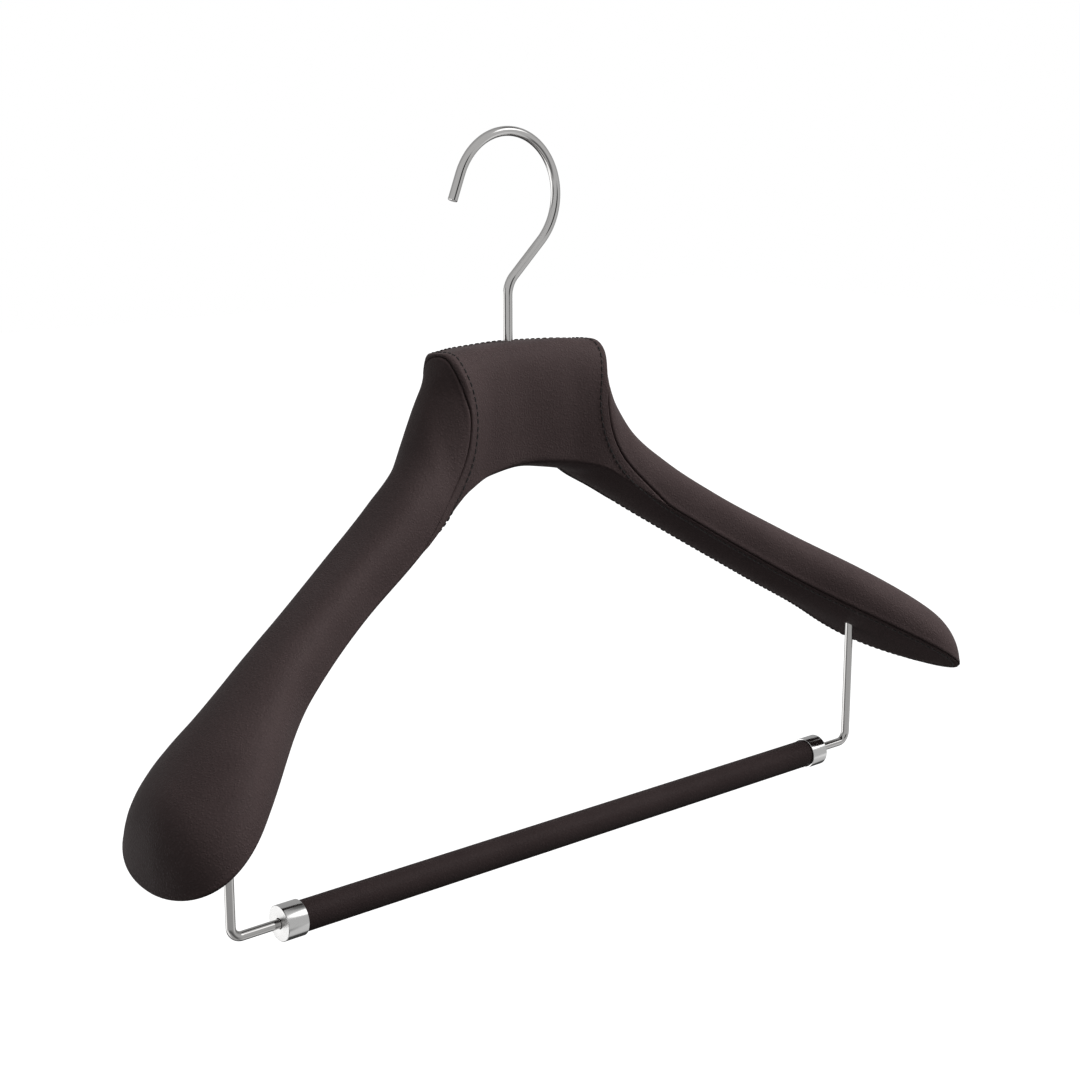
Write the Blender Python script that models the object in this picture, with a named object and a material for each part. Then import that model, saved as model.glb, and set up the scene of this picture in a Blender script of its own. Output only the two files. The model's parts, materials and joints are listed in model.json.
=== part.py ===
"""Suit hanger: two wooden arms in stitched leather, a swivelling steel hook and a rolling trouser bar.

Metres, +Z up, +X along the shoulders, -Y towards the front. The origin is the point inside the crook
that rests on the rail. Three empties carry the groups that move: the hook, the hanger below it, which
swivels, and the trouser bar, which rolls.
"""

from dataclasses import dataclass
from functools import lru_cache
from math import acos, cos, pi, radians, sin

import bmesh
import bpy
import numpy as np
from mathutils import Matrix, Vector

# Fits that several pieces share
GAP = 0.0003  # between pieces that seat on, pass through or run in each other
CUT_OVER = 0.004  # how far a cutter runs past the face that it opens
WELD = 1e-7

# Hook: round wire, straight stem, tangent neck and open crook
HOOK_WIRE = 0.0043
CROOK_RADIUS = 0.028  # to the wire's centre
CROOK_RISE = 0.0663  # crook's centre above the top of the neck
CROOK_END_TURN = 158.8  # where the crook ends and its straight tip starts, degrees from +X
HOOK_TIP_LENGTH = 0.0097
STEM_BEND_RISE = 0.0277  # where the stem's line meets the line that runs to the crook
STEM_BEND_RADIUS = 0.007
STEM_TAIL = 0.0015  # stem showing below its nut

# Swivel in the neck
BUSH_DEPTH = 0.0025  # top of the bush below the top of the neck
BUSH_LENGTH = 0.020
BUSH_WALL = 0.0015
BUSH_FLANGE_WIDTH = 0.0015
BUSH_FLANGE_THICKNESS = 0.0015
WASHER_WIDTH = 0.0026
WASHER_THICKNESS = 0.001
NUT_FLATS = 0.0082
NUT_HEIGHT = 0.0045
NUT_BEVEL = 0.0004
DOWEL_DIAMETER = 0.005
DOWEL_LENGTH = 0.036
DOWEL_BEVEL = 0.0006
DOWEL_WEB = 0.0009  # wood left between the nut's pocket and the dowels
UPPER_DOWEL_DROP = 0.020
LOWER_DOWEL_DROP = 0.038

# Covered body
HALF_SPAN = 0.225
NECK_HALF = 0.040  # from the middle to the end of the neck
END_WALL_RUN = 0.020  # from there to the root of the arm
LEATHER = 0.0012
UNDERSIDE_BULGE = 0.0033
TIP_PLAN_ROUNDING = 0.0385  # length of the tip's rounding seen from above
TIP_PROFILE_ROUNDING = 0.0175  # the same seen from the front
NECK_LEAN = -0.075  # forward lean of the neck per unit of height
NECK_TOP_TILT = 0.06  # fall of the neck's top towards the front, per unit of depth
NECK_REACH = 0.0685  # distance from the middle over which lean and tilt fade
NECK_FLARE = 0.06  # how much wider the neck is at its top, as a share
FLARE_HEIGHT = 0.015  # height over which it widens
FLARE_TOP = -0.002  # where it is widest, about the neck's top
EDGE_SOFTNESS = 0.07  # width of the soft edge between neck and arm, as a share of the section
EDGE_FADE = (NECK_HALF + 0.012, NECK_HALF + 0.042)  # distances from the middle over which it fades out
ARM_WIDENING_LIMIT = 0.985  # greatest height, as a share of the arm's, at which the two still meet

# Seam between the two panels
SEAM_WAIST = NECK_HALF - 0.001  # from the middle to the seam, where it is narrowest
SEAM_HEAD = NECK_HALF - 0.0007  # the same on top of the neck and on its back
SEAM_FOOT = NECK_HALF + 0.032  # the same where the seam reaches the front lower edge
SEAM_FOOT_TURN = 0.04  # turn over which the foot draws in to the waist
SEAM_HEAD_TURNS = (0.15, 0.25)
SEAM_BACK_TURN = 0.75  # the top back edge, along which the seam crosses the neck

# Trouser bar and the rods that carry it
ROD_WIRE = 0.004
ROD_INSET = 0.0426  # from the tip of the arm to the rod
ROD_BEND_RADIUS = 0.005
ROD_SEAT_DEPTH = 0.022  # how far the rod goes up into the arm
ROD_END_DEPTH = 0.013  # how far the rod goes into the bar's end
BAR_DROP = 0.2144  # bar's axis below the top of the neck
BAR_SIDE_GAP = 0.0221  # from the rod to the ferrule's face
BAR_LEATHER_DIAMETER = 0.0132
BAR_LEATHER_WALL = 0.0012
FERRULE_WALL = 0.00065
FERRULE_LENGTH = 0.0098
FERRULE_FACE = 0.001
FERRULE_BEVEL = 0.00025
BAR_BUSH_WALL = 0.0012
BAR_BUSH_LENGTH = 0.015

# Smoothness
COLUMNS_TO_SEAM = 7
COLUMNS_ALONG_ARM = 11
COLUMN_CROWDING = 1.2  # over 1 sets the arm's columns closer together near the neck
COLUMNS_ROUND_TIP = 7
ROWS_OVER_TOP = 16
ROWS_UNDER = 8
WIRE_RING = 6  # bevel resolution of a wire: sixteen sides
WIRE_STEP = radians(7.5)
TURNED_SIDES = 32
SMALL_SIDES = 24

ARM_ROOT = NECK_HALF + END_WALL_RUN
COLUMNS = COLUMNS_TO_SEAM + COLUMNS_ALONG_ARM + COLUMNS_ROUND_TIP
ROWS = ROWS_OVER_TOP + ROWS_UNDER
SEAM_ROW = round(ROWS_OVER_TOP * SEAM_BACK_TURN)


@dataclass(frozen=True)
class LowerEdges:
    """The lower edges of a template across the covered body, in metres about the top of the neck."""

    x: float
    front: tuple[float, float]  # y and z
    back: tuple[float, float]


@dataclass(frozen=True)
class Crown:
    """The shape over a template's lower edges: the height of its crest and how boxy it is."""

    x: float
    crest: float
    fullness: float  # 2 is an ellipse, more is boxier


def past_neck(share):
    """Distance from the middle of a template at this share of the way down the neck's end wall."""
    return NECK_HALF + END_WALL_RUN * share


def along_arm(share):
    """Distance from the middle of a template that lies this share of the way from arm root to tip."""
    return ARM_ROOT + (HALF_SPAN - ARM_ROOT) * share


LOWER_EDGES = (
    LowerEdges(0.0, (-0.0146, -0.0514), (0.0178, -0.0526)),
    LowerEdges(NECK_HALF * 0.55, (-0.0168, -0.0533), (0.0178, -0.0563)),
    LowerEdges(NECK_HALF, (-0.0232, -0.0575), (0.0179, -0.0608)),
    LowerEdges(past_neck(0.45), (-0.0248, -0.0634), (0.0187, -0.0662)),
    LowerEdges(ARM_ROOT, (-0.0284, -0.0705), (0.0144, -0.0732)),
    LowerEdges(along_arm(0.10), (-0.0323, -0.0814), (0.0090, -0.0845)),
    LowerEdges(along_arm(0.27), (-0.0376, -0.0988), (0.0004, -0.1028)),
    LowerEdges(along_arm(0.50), (-0.0520, -0.1229), (-0.0093, -0.1268)),
    LowerEdges(along_arm(0.75), (-0.0860, -0.1495), (-0.0150, -0.1505)),
    LowerEdges(along_arm(0.95), (-0.1125, -0.1705), (-0.0130, -0.1735)),
)
NECK_CROWNS = (
    Crown(0.0, 0.0032, 4.0),
    Crown(NECK_HALF * 0.55, 0.0031, 2.8),
    Crown(NECK_HALF, 0.0014, 2.6),
)
ARM_CROWNS = (
    Crown(past_neck(-0.10), 0.0140, 2.0),
    Crown(past_neck(0.10), -0.0026, 2.1),
    Crown(past_neck(0.30), -0.0108, 1.8),
    Crown(past_neck(0.60), -0.0234, 1.6),
    Crown(ARM_ROOT, -0.0406, 2.0),
    Crown(along_arm(0.10), -0.0576, 2.8),
    Crown(along_arm(0.27), -0.0775, 3.6),
    Crown(along_arm(0.50), -0.0990, 2.5),
    Crown(along_arm(0.75), -0.1225, 1.7),
    Crown(along_arm(0.95), -0.1450, 2.0),
)


class Line:
    """A smooth line through the templates' values, straight on past the last one.

    A line that starts in the middle of the neck is level there. Any other is straight on before its start.
    """

    def __init__(self, templates, read):
        self.x = np.array([template.x for template in templates])
        self.values = np.array([read(template) for template in templates])
        step = np.diff(self.x)
        slope = np.diff(self.values) / step
        before, after = slope[:-1], slope[1:]
        near, far = 2 * step[1:] + step[:-1], step[1:] + 2 * step[:-1]
        same_way = before * after > 0
        safe_before = np.where(same_way, before, 1.0)
        safe_after = np.where(same_way, after, 1.0)
        between = (near + far) / (near / safe_before + far / safe_after)
        start = slope[0] if self.x[0] > 0 else 0.0
        self.slope = np.array([start, *np.where(same_way, between, 0.0), slope[-1]])

    def at(self, x):
        """Values at the distances x from the middle."""
        left = np.clip(np.searchsorted(self.x, x, side="right") - 1, 0, len(self.x) - 2)
        step = self.x[left + 1] - self.x[left]
        t = np.clip((x - self.x[left]) / step, 0, 1)
        low = (1 + 2 * t) * (1 - t) ** 2 * self.values[left] + t * (1 - t) ** 2 * step * self.slope[left]
        high = t**2 * (3 - 2 * t) * self.values[left + 1] + t**2 * (t - 1) * step * self.slope[left + 1]
        before, past = np.minimum(x - self.x[0], 0), np.maximum(x - self.x[-1], 0)
        return low + high + before * self.slope[0] + past * self.slope[-1]

    def stretch(self, x):
        """Length of the line per unit of x: what a depth square to it measures along the section."""
        reach = 0.00025
        low = np.maximum(x - reach, 0)
        return np.hypot(1, (self.at(x + reach) - self.at(low)) / (x + reach - low))


FRONT_Y = Line(LOWER_EDGES, lambda edges: edges.front[0])
FRONT_Z = Line(LOWER_EDGES, lambda edges: edges.front[1])
BACK_Y = Line(LOWER_EDGES, lambda edges: edges.back[0])
BACK_Z = Line(LOWER_EDGES, lambda edges: edges.back[1])
NECK_CREST = Line(NECK_CROWNS, lambda crown: crown.crest)
NECK_FULLNESS = Line(NECK_CROWNS, lambda crown: crown.fullness)
ARM_CREST = Line(ARM_CROWNS, lambda crown: crown.crest)
ARM_FULLNESS = Line(ARM_CROWNS, lambda crown: crown.fullness)


def rounding(side, length, depth):
    """1 along the arm, falling to 0 at the tip along a quarter ellipse of this length."""
    past = (side - (HALF_SPAN - length)) / (length - depth)
    return np.sqrt(1 - np.clip(past, 0, 1) ** 2)


def eased(t):
    """0 to 1, level at both ends."""
    t = np.clip(t, 0, 1)
    return t * t * (3 - 2 * t)


def seam_x(turn):
    """Distance from the middle of the seam's line across the neck, and of the grid line that follows it."""
    foot = (SEAM_FOOT - SEAM_WAIST) * np.exp(-turn / SEAM_FOOT_TURN)
    low, high = SEAM_HEAD_TURNS
    head = (SEAM_HEAD - SEAM_WAIST) * eased((turn - low) / (high - low))
    under = SEAM_HEAD + (SEAM_FOOT - SEAM_HEAD) * eased(turn - 1)
    return np.where(turn <= 1, SEAM_WAIST + foot + head, under)


def seam_height(side):
    """Height at which the seam crosses the front of a section, as a share of the neck's height there."""
    past_waist = np.maximum(side - SEAM_WAIST, WELD)
    turn = SEAM_FOOT_TURN * np.log((SEAM_FOOT - SEAM_WAIST) / past_waist)
    return np.tan(pi * np.clip(turn, 0, SEAM_HEAD_TURNS[1]))


def section_reach(side, across, up, neck_rise, arm_rise):
    """How far a section reaches in each direction, as a share of its half depth and the neck's height.

    The neck and the arm each have a superellipse of their own, and the lesser counts. In front the arm's is
    widened so that the two meet at the height of the seam, in a soft edge that fades out along the arm.
    """
    neck_full, arm_full = NECK_FULLNESS.at(np.minimum(side, NECK_HALF)), ARM_FULLNESS.at(side)
    neck = (np.abs(across) ** neck_full + up**neck_full) ** (-1 / neck_full)
    seam = np.clip(seam_height(side) * neck_rise / arm_rise, 0, ARM_WIDENING_LIMIT)
    width = np.where(across > 0, (1 - seam**arm_full) ** (-1 / arm_full), 1.0)
    arm = ((np.abs(across) / width) ** arm_full + (up * neck_rise / arm_rise) ** arm_full) ** (-1 / arm_full)
    low, high = EDGE_FADE
    soft = EDGE_SOFTNESS * np.clip((high - side) / (high - low), 0, 1) + WELD
    near = np.maximum(soft - np.abs(neck - arm), 0) / soft
    return np.minimum(neck, arm) - near**2 * soft / 4


def body_points(x, turn, depth):
    """Points of the covered body, about the top of the neck.

    turn runs round the section: 0 at the front lower edge, over the top to 1 at the back lower edge,
    and under the arm to 2. depth is how far the points lie below the leather's face.
    """
    side = np.abs(x)
    front = FRONT_Y.at(side) + depth * FRONT_Y.stretch(side)
    back = BACK_Y.at(side) - depth * BACK_Y.stretch(side)
    narrowing = (back - front) / (BACK_Y.at(side) - FRONT_Y.at(side))
    plan = rounding(side, TIP_PLAN_ROUNDING, depth)
    profile = rounding(side, TIP_PROFILE_ROUNDING, depth)
    middle = (front + back) / 2
    half = (back - front) / 2 * plan
    raised = depth * FRONT_Z.stretch(side) - UNDERSIDE_BULGE * profile * (1 - narrowing**2)
    base = (FRONT_Z.at(side) + BACK_Z.at(side)) / 2 + raised
    twist = (BACK_Z.at(side) - FRONT_Z.at(side)) / 2 * plan
    neck_side = np.minimum(side, NECK_HALF)
    neck_rise = NECK_CREST.at(neck_side) - depth * NECK_CREST.stretch(neck_side) - base
    arm_rise = ARM_CREST.at(side) - depth * ARM_CREST.stretch(side) - base

    over = turn <= 1
    angle = pi * np.where(over, turn, turn - 1)
    across, up = np.cos(angle), np.abs(np.sin(angle))
    reach = section_reach(side, across, up, neck_rise, arm_rise)
    height = np.where(over, reach * up * neck_rise, -UNDERSIDE_BULGE * narrowing**2 * up**2) * profile
    across = np.where(over, reach * across, -across)
    y = middle - half * across
    z = base - twist * across + height
    neck = np.exp(-((side / NECK_REACH) ** 4)) * over
    z = z + NECK_TOP_TILT * neck * np.minimum(reach * up, 1) * (y - middle)
    y = y + NECK_LEAN * neck * (z - base)
    flare = NECK_FLARE * eased((z - FLARE_TOP) / FLARE_HEIGHT + 1)
    return np.stack([x * (1 + flare), y, z], axis=-1)


def column_x(column, turn, depth):
    """x of a grid column: columns fan out from the middle to the seam, then run on to the tip."""
    count = abs(column)
    tip_start = HALF_SPAN - TIP_PLAN_ROUNDING
    seam = seam_x(turn)
    if count <= COLUMNS_TO_SEAM:
        x = seam * count / COLUMNS_TO_SEAM
    elif count <= COLUMNS_TO_SEAM + COLUMNS_ALONG_ARM:
        share = ((count - COLUMNS_TO_SEAM) / COLUMNS_ALONG_ARM) ** COLUMN_CROWDING
        x = seam + (tip_start - seam) * share
    else:
        share = (count - COLUMNS_TO_SEAM - COLUMNS_ALONG_ARM) / COLUMNS_ROUND_TIP
        x = np.full_like(turn, tip_start + (TIP_PLAN_ROUNDING - depth) * sin(pi / 2 * share))
    return x if column >= 0 else -x


@lru_cache(maxsize=None)
def body_column(column, depth):
    """The points of one column, once round the section."""
    over = np.linspace(0, 1, ROWS_OVER_TOP + 1)
    under = np.linspace(1, 2, ROWS_UNDER + 1)[1:-1]
    turn = np.concatenate([over, under])
    return body_points(column_x(column, turn, depth), turn, depth)


def split_cell(column, row):
    """A grid cell's two triangles, as (column, row) corners, split along the shorter diagonal of its face.

    Every layer of the body is split alike, so that its layers stay parallel.
    """
    after = (row + 1) % ROWS
    corners = [(column, row), (column + 1, row), (column + 1, after), (column, after)]
    a, b, c, d = (Vector(body_column(at, 0.0)[turn]) for at, turn in corners)
    if (c - a).length < (d - b).length:
        return corners[:3], [corners[0], *corners[2:]]
    return [*corners[:2], corners[3]], corners[1:]


def principled(name, colour, roughness, metallic=0.0):
    """A material with one Principled shader."""
    material = bpy.data.materials.new(name)
    material.use_nodes = True
    shader = material.node_tree.nodes["Principled BSDF"]
    shader.inputs["Base Color"].default_value = (*colour, 1.0)
    shader.inputs["Roughness"].default_value = roughness
    shader.inputs["Metallic"].default_value = metallic
    return material


def leather(name):
    return principled(name, (0.048, 0.036, 0.035), 0.5)


def wood(name):
    return principled(name, (0.50, 0.33, 0.19), 0.55)


def steel(name):
    return principled(name, (0.72, 0.71, 0.70), 0.22, 1.0)


def brass(name):
    return principled(name, (0.75, 0.55, 0.28), 0.3, 1.0)


def nylon(name):
    return principled(name, (0.75, 0.73, 0.68), 0.45)


def group(name, place, parent=None):
    """An empty that carries the pieces which move together."""
    empty = bpy.data.objects.new(name, None)
    empty.empty_display_size = 0.02
    empty.parent = parent
    empty.location = place
    bpy.context.collection.objects.link(empty)
    return empty


def add_piece(name, bm, material, parent, place=(0, 0, 0), smooth_below=40):
    """Makes an object of a finished bmesh, facing out and shaded smooth up to the given angle."""
    bmesh.ops.recalc_face_normals(bm, faces=bm.faces[:])
    if bm.calc_volume(signed=True) < 0:
        bmesh.ops.reverse_faces(bm, faces=bm.faces[:])
    mesh = bpy.data.meshes.new(name)
    bm.to_mesh(mesh)
    bm.free()
    mesh.shade_smooth()
    mesh.set_sharp_from_angle(angle=radians(smooth_below))
    mesh.materials.append(material)
    piece = bpy.data.objects.new(name, mesh)
    piece.parent = parent
    piece.location = place
    bpy.context.collection.objects.link(piece)
    return piece


def cylinder(radius, start, end, sides=TURNED_SIDES):
    """A closed cylinder from start to end."""
    start, end = Vector(start), Vector(end)
    bm = bmesh.new()
    length = (end - start).length
    bmesh.ops.create_cone(bm, cap_ends=True, segments=sides, radius1=radius, radius2=radius, depth=length)
    turn = (end - start).to_track_quat("Z", "Y").to_matrix().to_4x4()
    bm.transform(Matrix.Translation((start + end) / 2) @ turn)
    return bm


def cut(piece, name, bm):
    """Takes a shape out of a piece, with a hidden cutter in the piece's own frame."""
    mesh = bpy.data.meshes.new(name)
    bm.to_mesh(mesh)
    bm.free()
    cutter = bpy.data.objects.new(name, mesh)
    cutter.parent = piece.parent
    cutter.location = piece.location
    cutter.hide_render = True
    cutter.display_type = "WIRE"
    bpy.context.collection.objects.link(cutter)
    boolean = piece.modifiers.new(name, "BOOLEAN")
    boolean.object = cutter


def soften(piece, width):
    """Rounds the edges of a turned piece."""
    bevel = piece.modifiers.new("edges", "BEVEL")
    bevel.width = width
    bevel.limit_method = "ANGLE"
    bevel.angle_limit = radians(50)


def turned(profile, sides=TURNED_SIDES):
    """A solid of revolution about Z: the closed profile of radius and height, spun once round."""
    bm = bmesh.new()
    verts = [bm.verts.new((radius, 0, height)) for radius, height in profile]
    edges = [bm.edges.new(pair) for pair in zip(verts, verts[1:] + verts[:1])]
    bmesh.ops.spin(
        bm, geom=verts + edges, cent=(0, 0, 0), axis=(0, 0, 1), angle=2 * pi, steps=sides, use_duplicate=False
    )
    bmesh.ops.remove_doubles(bm, verts=bm.verts[:], dist=WELD)
    return bm


def ring(inner, outer, low, high):
    """The profile of a plain ring or tube."""
    return [(inner, low), (outer, low), (outer, high), (inner, high)]


def lay_along_x(bm, side=1):
    """Turns a piece made about Z so that its height runs along +X, or along -X for side -1."""
    bm.transform(Matrix.Rotation(side * pi / 2, 4, "Y"))
    return bm


def arc(centre, radius, start, end):
    """Points of an arc in the XZ plane, both ends included."""
    steps = max(1, round(abs(end - start) / WIRE_STEP))
    turns = [start + (end - start) * step / steps for step in range(steps + 1)]
    return [(centre[0] + radius * cos(turn), 0, centre[1] + radius * sin(turn)) for turn in turns]


def wire(name, points, diameter, material, parent, place=(0, 0, 0)):
    """A round wire along a line of points, with flat ends."""
    curve = bpy.data.curves.new(name, "CURVE")
    curve.dimensions = "3D"
    curve.bevel_depth = diameter / 2
    curve.bevel_resolution = WIRE_RING
    curve.use_fill_caps = True
    spline = curve.splines.new("POLY")
    spline.points.add(len(points) - 1)
    for target, point in zip(spline.points, points):
        target.co = (*point, 1)
    curve.materials.append(material)
    piece = bpy.data.objects.new(name, curve)
    piece.parent = parent
    piece.location = place
    bpy.context.collection.objects.link(piece)
    return piece


# Places that several pieces share, about the top of the neck
STEM_HOLE = HOOK_WIRE / 2 + GAP
BUSH_RADIUS = STEM_HOLE + BUSH_WALL
FLANGE_RADIUS = BUSH_RADIUS + BUSH_FLANGE_WIDTH
FLANGE_TOP = -(BUSH_DEPTH + BUSH_LENGTH)
WASHER_TOP = FLANGE_TOP - BUSH_FLANGE_THICKNESS - GAP
NUT_TOP = WASHER_TOP - WASHER_THICKNESS - GAP
STEM_BOTTOM = NUT_TOP - NUT_HEIGHT - STEM_TAIL
NUT_RADIUS = NUT_FLATS / 2 / cos(pi / 6)  # to the nut's corners
POCKET_RADIUS = max(FLANGE_RADIUS, STEM_HOLE + WASHER_WIDTH, NUT_RADIUS) + GAP
DOWEL_Y = POCKET_RADIUS + DOWEL_WEB + DOWEL_DIAMETER / 2 + GAP
ROD_X = HALF_SPAN - ROD_INSET
NECK_TOP = -(CROOK_RISE + CROOK_RADIUS - HOOK_WIRE / 2)


def height_at(x, y, turn_range, depth):
    """Height of the body's surface over a point, found along one face of the section there."""
    turns = np.linspace(*turn_range, 201)
    points = body_points(np.full_like(turns, x), turns, depth)
    order = np.argsort(points[:, 1])
    return float(np.interp(y, points[order, 1], points[order, 2]))


ROD_Y = float(FRONT_Y.at(np.array(ROD_X)) + BACK_Y.at(np.array(ROD_X))) / 2
ROD_ENTRY = height_at(ROD_X, ROD_Y, (1, 2), 0.0)
NECK_UNDER = height_at(0.0, 0.0, (1, 2), 0.0)


def leather_panel(name, covers, parent):
    """A leather panel: the grid cells that covers() picks, wrapped round the body and given a thickness.

    The rim is drawn in by half a gap, so that the two panels meet along an open seam.
    """
    bm = bmesh.new()
    column_of = bm.verts.layers.int.new("column")
    row_of = bm.verts.layers.int.new("row")
    made = {}

    def corner(column, row):
        key = (column, row)
        if key not in made:
            made[key] = bm.verts.new(body_column(column, 0.0)[row])
            made[key][column_of], made[key][row_of] = key
        return made[key]

    for side in (-1, 1):
        for column, row in ((column, row) for column in range(COLUMNS) for row in range(ROWS)):
            if covers(column, row):
                for triangle in split_cell(column, row):
                    bm.faces.new([corner(side * at, turn) for at, turn in triangle])
    bmesh.ops.remove_doubles(bm, verts=bm.verts[:], dist=WELD)

    drawn_in = {}
    for vert in (vert for vert in bm.verts if vert.is_boundary):
        inward = [edge.other_vert(vert).co - vert.co for edge in vert.link_edges if not edge.is_boundary]
        if not inward:
            inward = [face.calc_center_median() - vert.co for face in vert.link_faces]
        step = sum((way.normalized() for way in inward), Vector()).normalized() * GAP / 2
        drawn_in[vert[column_of], vert[row_of]] = step
    still = Vector()
    new = bmesh.ops.extrude_face_region(bm, geom=bm.faces[:], use_keep_orig=True)["geom"]
    backed = {element for element in new if isinstance(element, bmesh.types.BMVert)}
    for vert in bm.verts:
        column, row = vert[column_of], vert[row_of]
        depth = LEATHER if vert in backed else 0.0
        vert.co = Vector(body_column(column, depth)[row]) + drawn_in.get((column, row), still)
    return add_piece(name, bm, leather(name), parent)


def outer_covers(column, row):
    """The outer panel: the back of the neck, its end walls and the shoulders."""
    return row < ROWS_OVER_TOP and (column >= COLUMNS_TO_SEAM or row >= SEAM_ROW)


def inner_covers(column, row):
    """The inner panel: the front and top of the neck, the arch and the undersides."""
    return not outer_covers(column, row)


def wooden_arm(name, side, parent):
    """One wooden half of the body, closed in the middle of the neck, where it meets the other."""
    bm = bmesh.new()
    rings = []
    for column in range(COLUMNS + 1):
        points = body_column(column, LEATHER + GAP)
        rings.append([bm.verts.new((side * max(x, GAP / 2), y, z)) for x, y, z in points])
    bm.faces.new(rings[0])
    for column in range(COLUMNS):
        for row in range(ROWS):
            for triangle in split_cell(column, row):
                bm.faces.new([rings[at][turn] for at, turn in triangle])
    bmesh.ops.remove_doubles(bm, verts=bm.verts[:], dist=WELD)
    return add_piece(name, bm, wood(name), parent)


def bore_arm(arm, side):
    """Opens the hook's bore and pocket, the dowel holes and the rod's hole in a wooden arm."""
    bush_hole = cylinder(BUSH_RADIUS + GAP, (0, 0, FLANGE_TOP - GAP), (0, 0, CUT_OVER))
    cut(arm, arm.name + "_bush_hole", bush_hole)
    pocket = cylinder(POCKET_RADIUS, (0, 0, NECK_UNDER - CUT_OVER), (0, 0, FLANGE_TOP + GAP))
    cut(arm, arm.name + "_nut_pocket", pocket)
    for label, drop in (("upper", UPPER_DOWEL_DROP), ("lower", LOWER_DOWEL_DROP)):
        start = (-side * CUT_OVER, DOWEL_Y, -drop)
        end = (side * (DOWEL_LENGTH / 2 + GAP), DOWEL_Y, -drop)
        cut(arm, f"{arm.name}_{label}_hole", cylinder(DOWEL_DIAMETER / 2 + GAP, start, end))
    cut(arm, arm.name + "_rod_hole", rod_hole(side))


def rod_hole(side):
    """The shape of the hole that takes a rod, from below the arm to the end of its seat."""
    low = (side * ROD_X, ROD_Y, ROD_ENTRY - CUT_OVER)
    high = (side * ROD_X, ROD_Y, ROD_ENTRY + ROD_SEAT_DEPTH + GAP)
    return cylinder(ROD_WIRE / 2 + GAP, low, high, SMALL_SIDES)


def make_body(parent):
    """The wooden arms, their dowels, the neck's bush and the two leather panels."""
    for side, label in ((-1, "left"), (1, "right")):
        arm = wooden_arm("core_" + label, side, parent)
        bore_arm(arm, side)
    for label, drop in (("upper", UPPER_DOWEL_DROP), ("lower", LOWER_DOWEL_DROP)):
        dowel = cylinder(DOWEL_DIAMETER / 2, (-DOWEL_LENGTH / 2, 0, 0), (DOWEL_LENGTH / 2, 0, 0), SMALL_SIDES)
        name = "dowel_" + label
        soften(add_piece(name, dowel, wood(name), parent, (0, DOWEL_Y, -drop)), DOWEL_BEVEL)
    low = FLANGE_TOP - BUSH_FLANGE_THICKNESS
    bush = [(STEM_HOLE, low), (FLANGE_RADIUS, low), (FLANGE_RADIUS, FLANGE_TOP), (BUSH_RADIUS, FLANGE_TOP)]
    bush += [(BUSH_RADIUS, -BUSH_DEPTH), (STEM_HOLE, -BUSH_DEPTH)]
    add_piece("neck_bush", turned(bush, SMALL_SIDES), brass("neck_bush"), parent)
    leather_panel("outer_leather", outer_covers, parent)
    inner = leather_panel("inner_leather", inner_covers, parent)
    stem_hole = cylinder(STEM_HOLE, (0, 0, -BUSH_DEPTH - CUT_OVER), (0, 0, CUT_OVER), SMALL_SIDES)
    cut(inner, "inner_leather_stem_hole", stem_hole)
    for side, label in ((-1, "left"), (1, "right")):
        cut(inner, f"inner_leather_{label}_rod_hole", rod_hole(side))


def hook_line():
    """Centre line of the hook's wire, about the rail's seat, from the foot of the stem to the tip."""
    centre = (0.0, NECK_TOP + CROOK_RISE)
    corner = NECK_TOP + STEM_BEND_RISE
    slant = acos(CROOK_RADIUS / (centre[1] - corner))  # of the line to the crook, from the horizontal
    bend = pi / 2 - slant
    start = corner - STEM_BEND_RADIUS * np.tan(bend / 2)
    stem_bend = arc((STEM_BEND_RADIUS, start), STEM_BEND_RADIUS, pi, pi - bend)
    crook = arc(centre, CROOK_RADIUS, slant - pi / 2, radians(CROOK_END_TURN))
    ahead = radians(CROOK_END_TURN) + pi / 2
    last = Vector(crook[-1])
    tip = last + Vector((cos(ahead), 0, sin(ahead))) * HOOK_TIP_LENGTH
    return [(0, 0, NECK_TOP + STEM_BOTTOM), *stem_bend, *crook, tuple(tip)]


def make_hook(parent):
    """The hook's wire, and the washer and nut that hold it in the neck."""
    wire("hook", hook_line(), HOOK_WIRE, steel("hook"), parent)
    washer = ring(STEM_HOLE, STEM_HOLE + WASHER_WIDTH, WASHER_TOP - WASHER_THICKNESS, WASHER_TOP)
    name = "hook_washer"
    add_piece(name, turned(washer, SMALL_SIDES), steel(name), parent, (0, 0, NECK_TOP))
    name = "hook_nut"
    low = NUT_TOP - NUT_HEIGHT
    nut = add_piece(name, cylinder(NUT_RADIUS, (0, 0, low), (0, 0, NUT_TOP), 6), steel(name), parent)
    nut.location = (0, 0, NECK_TOP)
    bore = cylinder(STEM_HOLE, (0, 0, low - CUT_OVER), (0, 0, NUT_TOP + CUT_OVER), SMALL_SIDES)
    cut(nut, "hook_nut_bore", bore)
    soften(nut, NUT_BEVEL)


def make_rod(name, side, parent):
    """A steel rod: down out of the arm, round a bend and in along the bar's axis."""
    reach = BAR_SIDE_GAP + ROD_END_DEPTH
    top = BAR_DROP + ROD_ENTRY + ROD_SEAT_DEPTH
    bend = arc((-ROD_BEND_RADIUS, ROD_BEND_RADIUS), ROD_BEND_RADIUS, 0, -pi / 2)
    line = [(0, 0, top), *bend, (-reach, 0, 0)]
    points = [(side * x, y, z) for x, y, z in line]
    wire(name, points, ROD_WIRE, steel(name), parent, (side * ROD_X, ROD_Y, -BAR_DROP))


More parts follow.
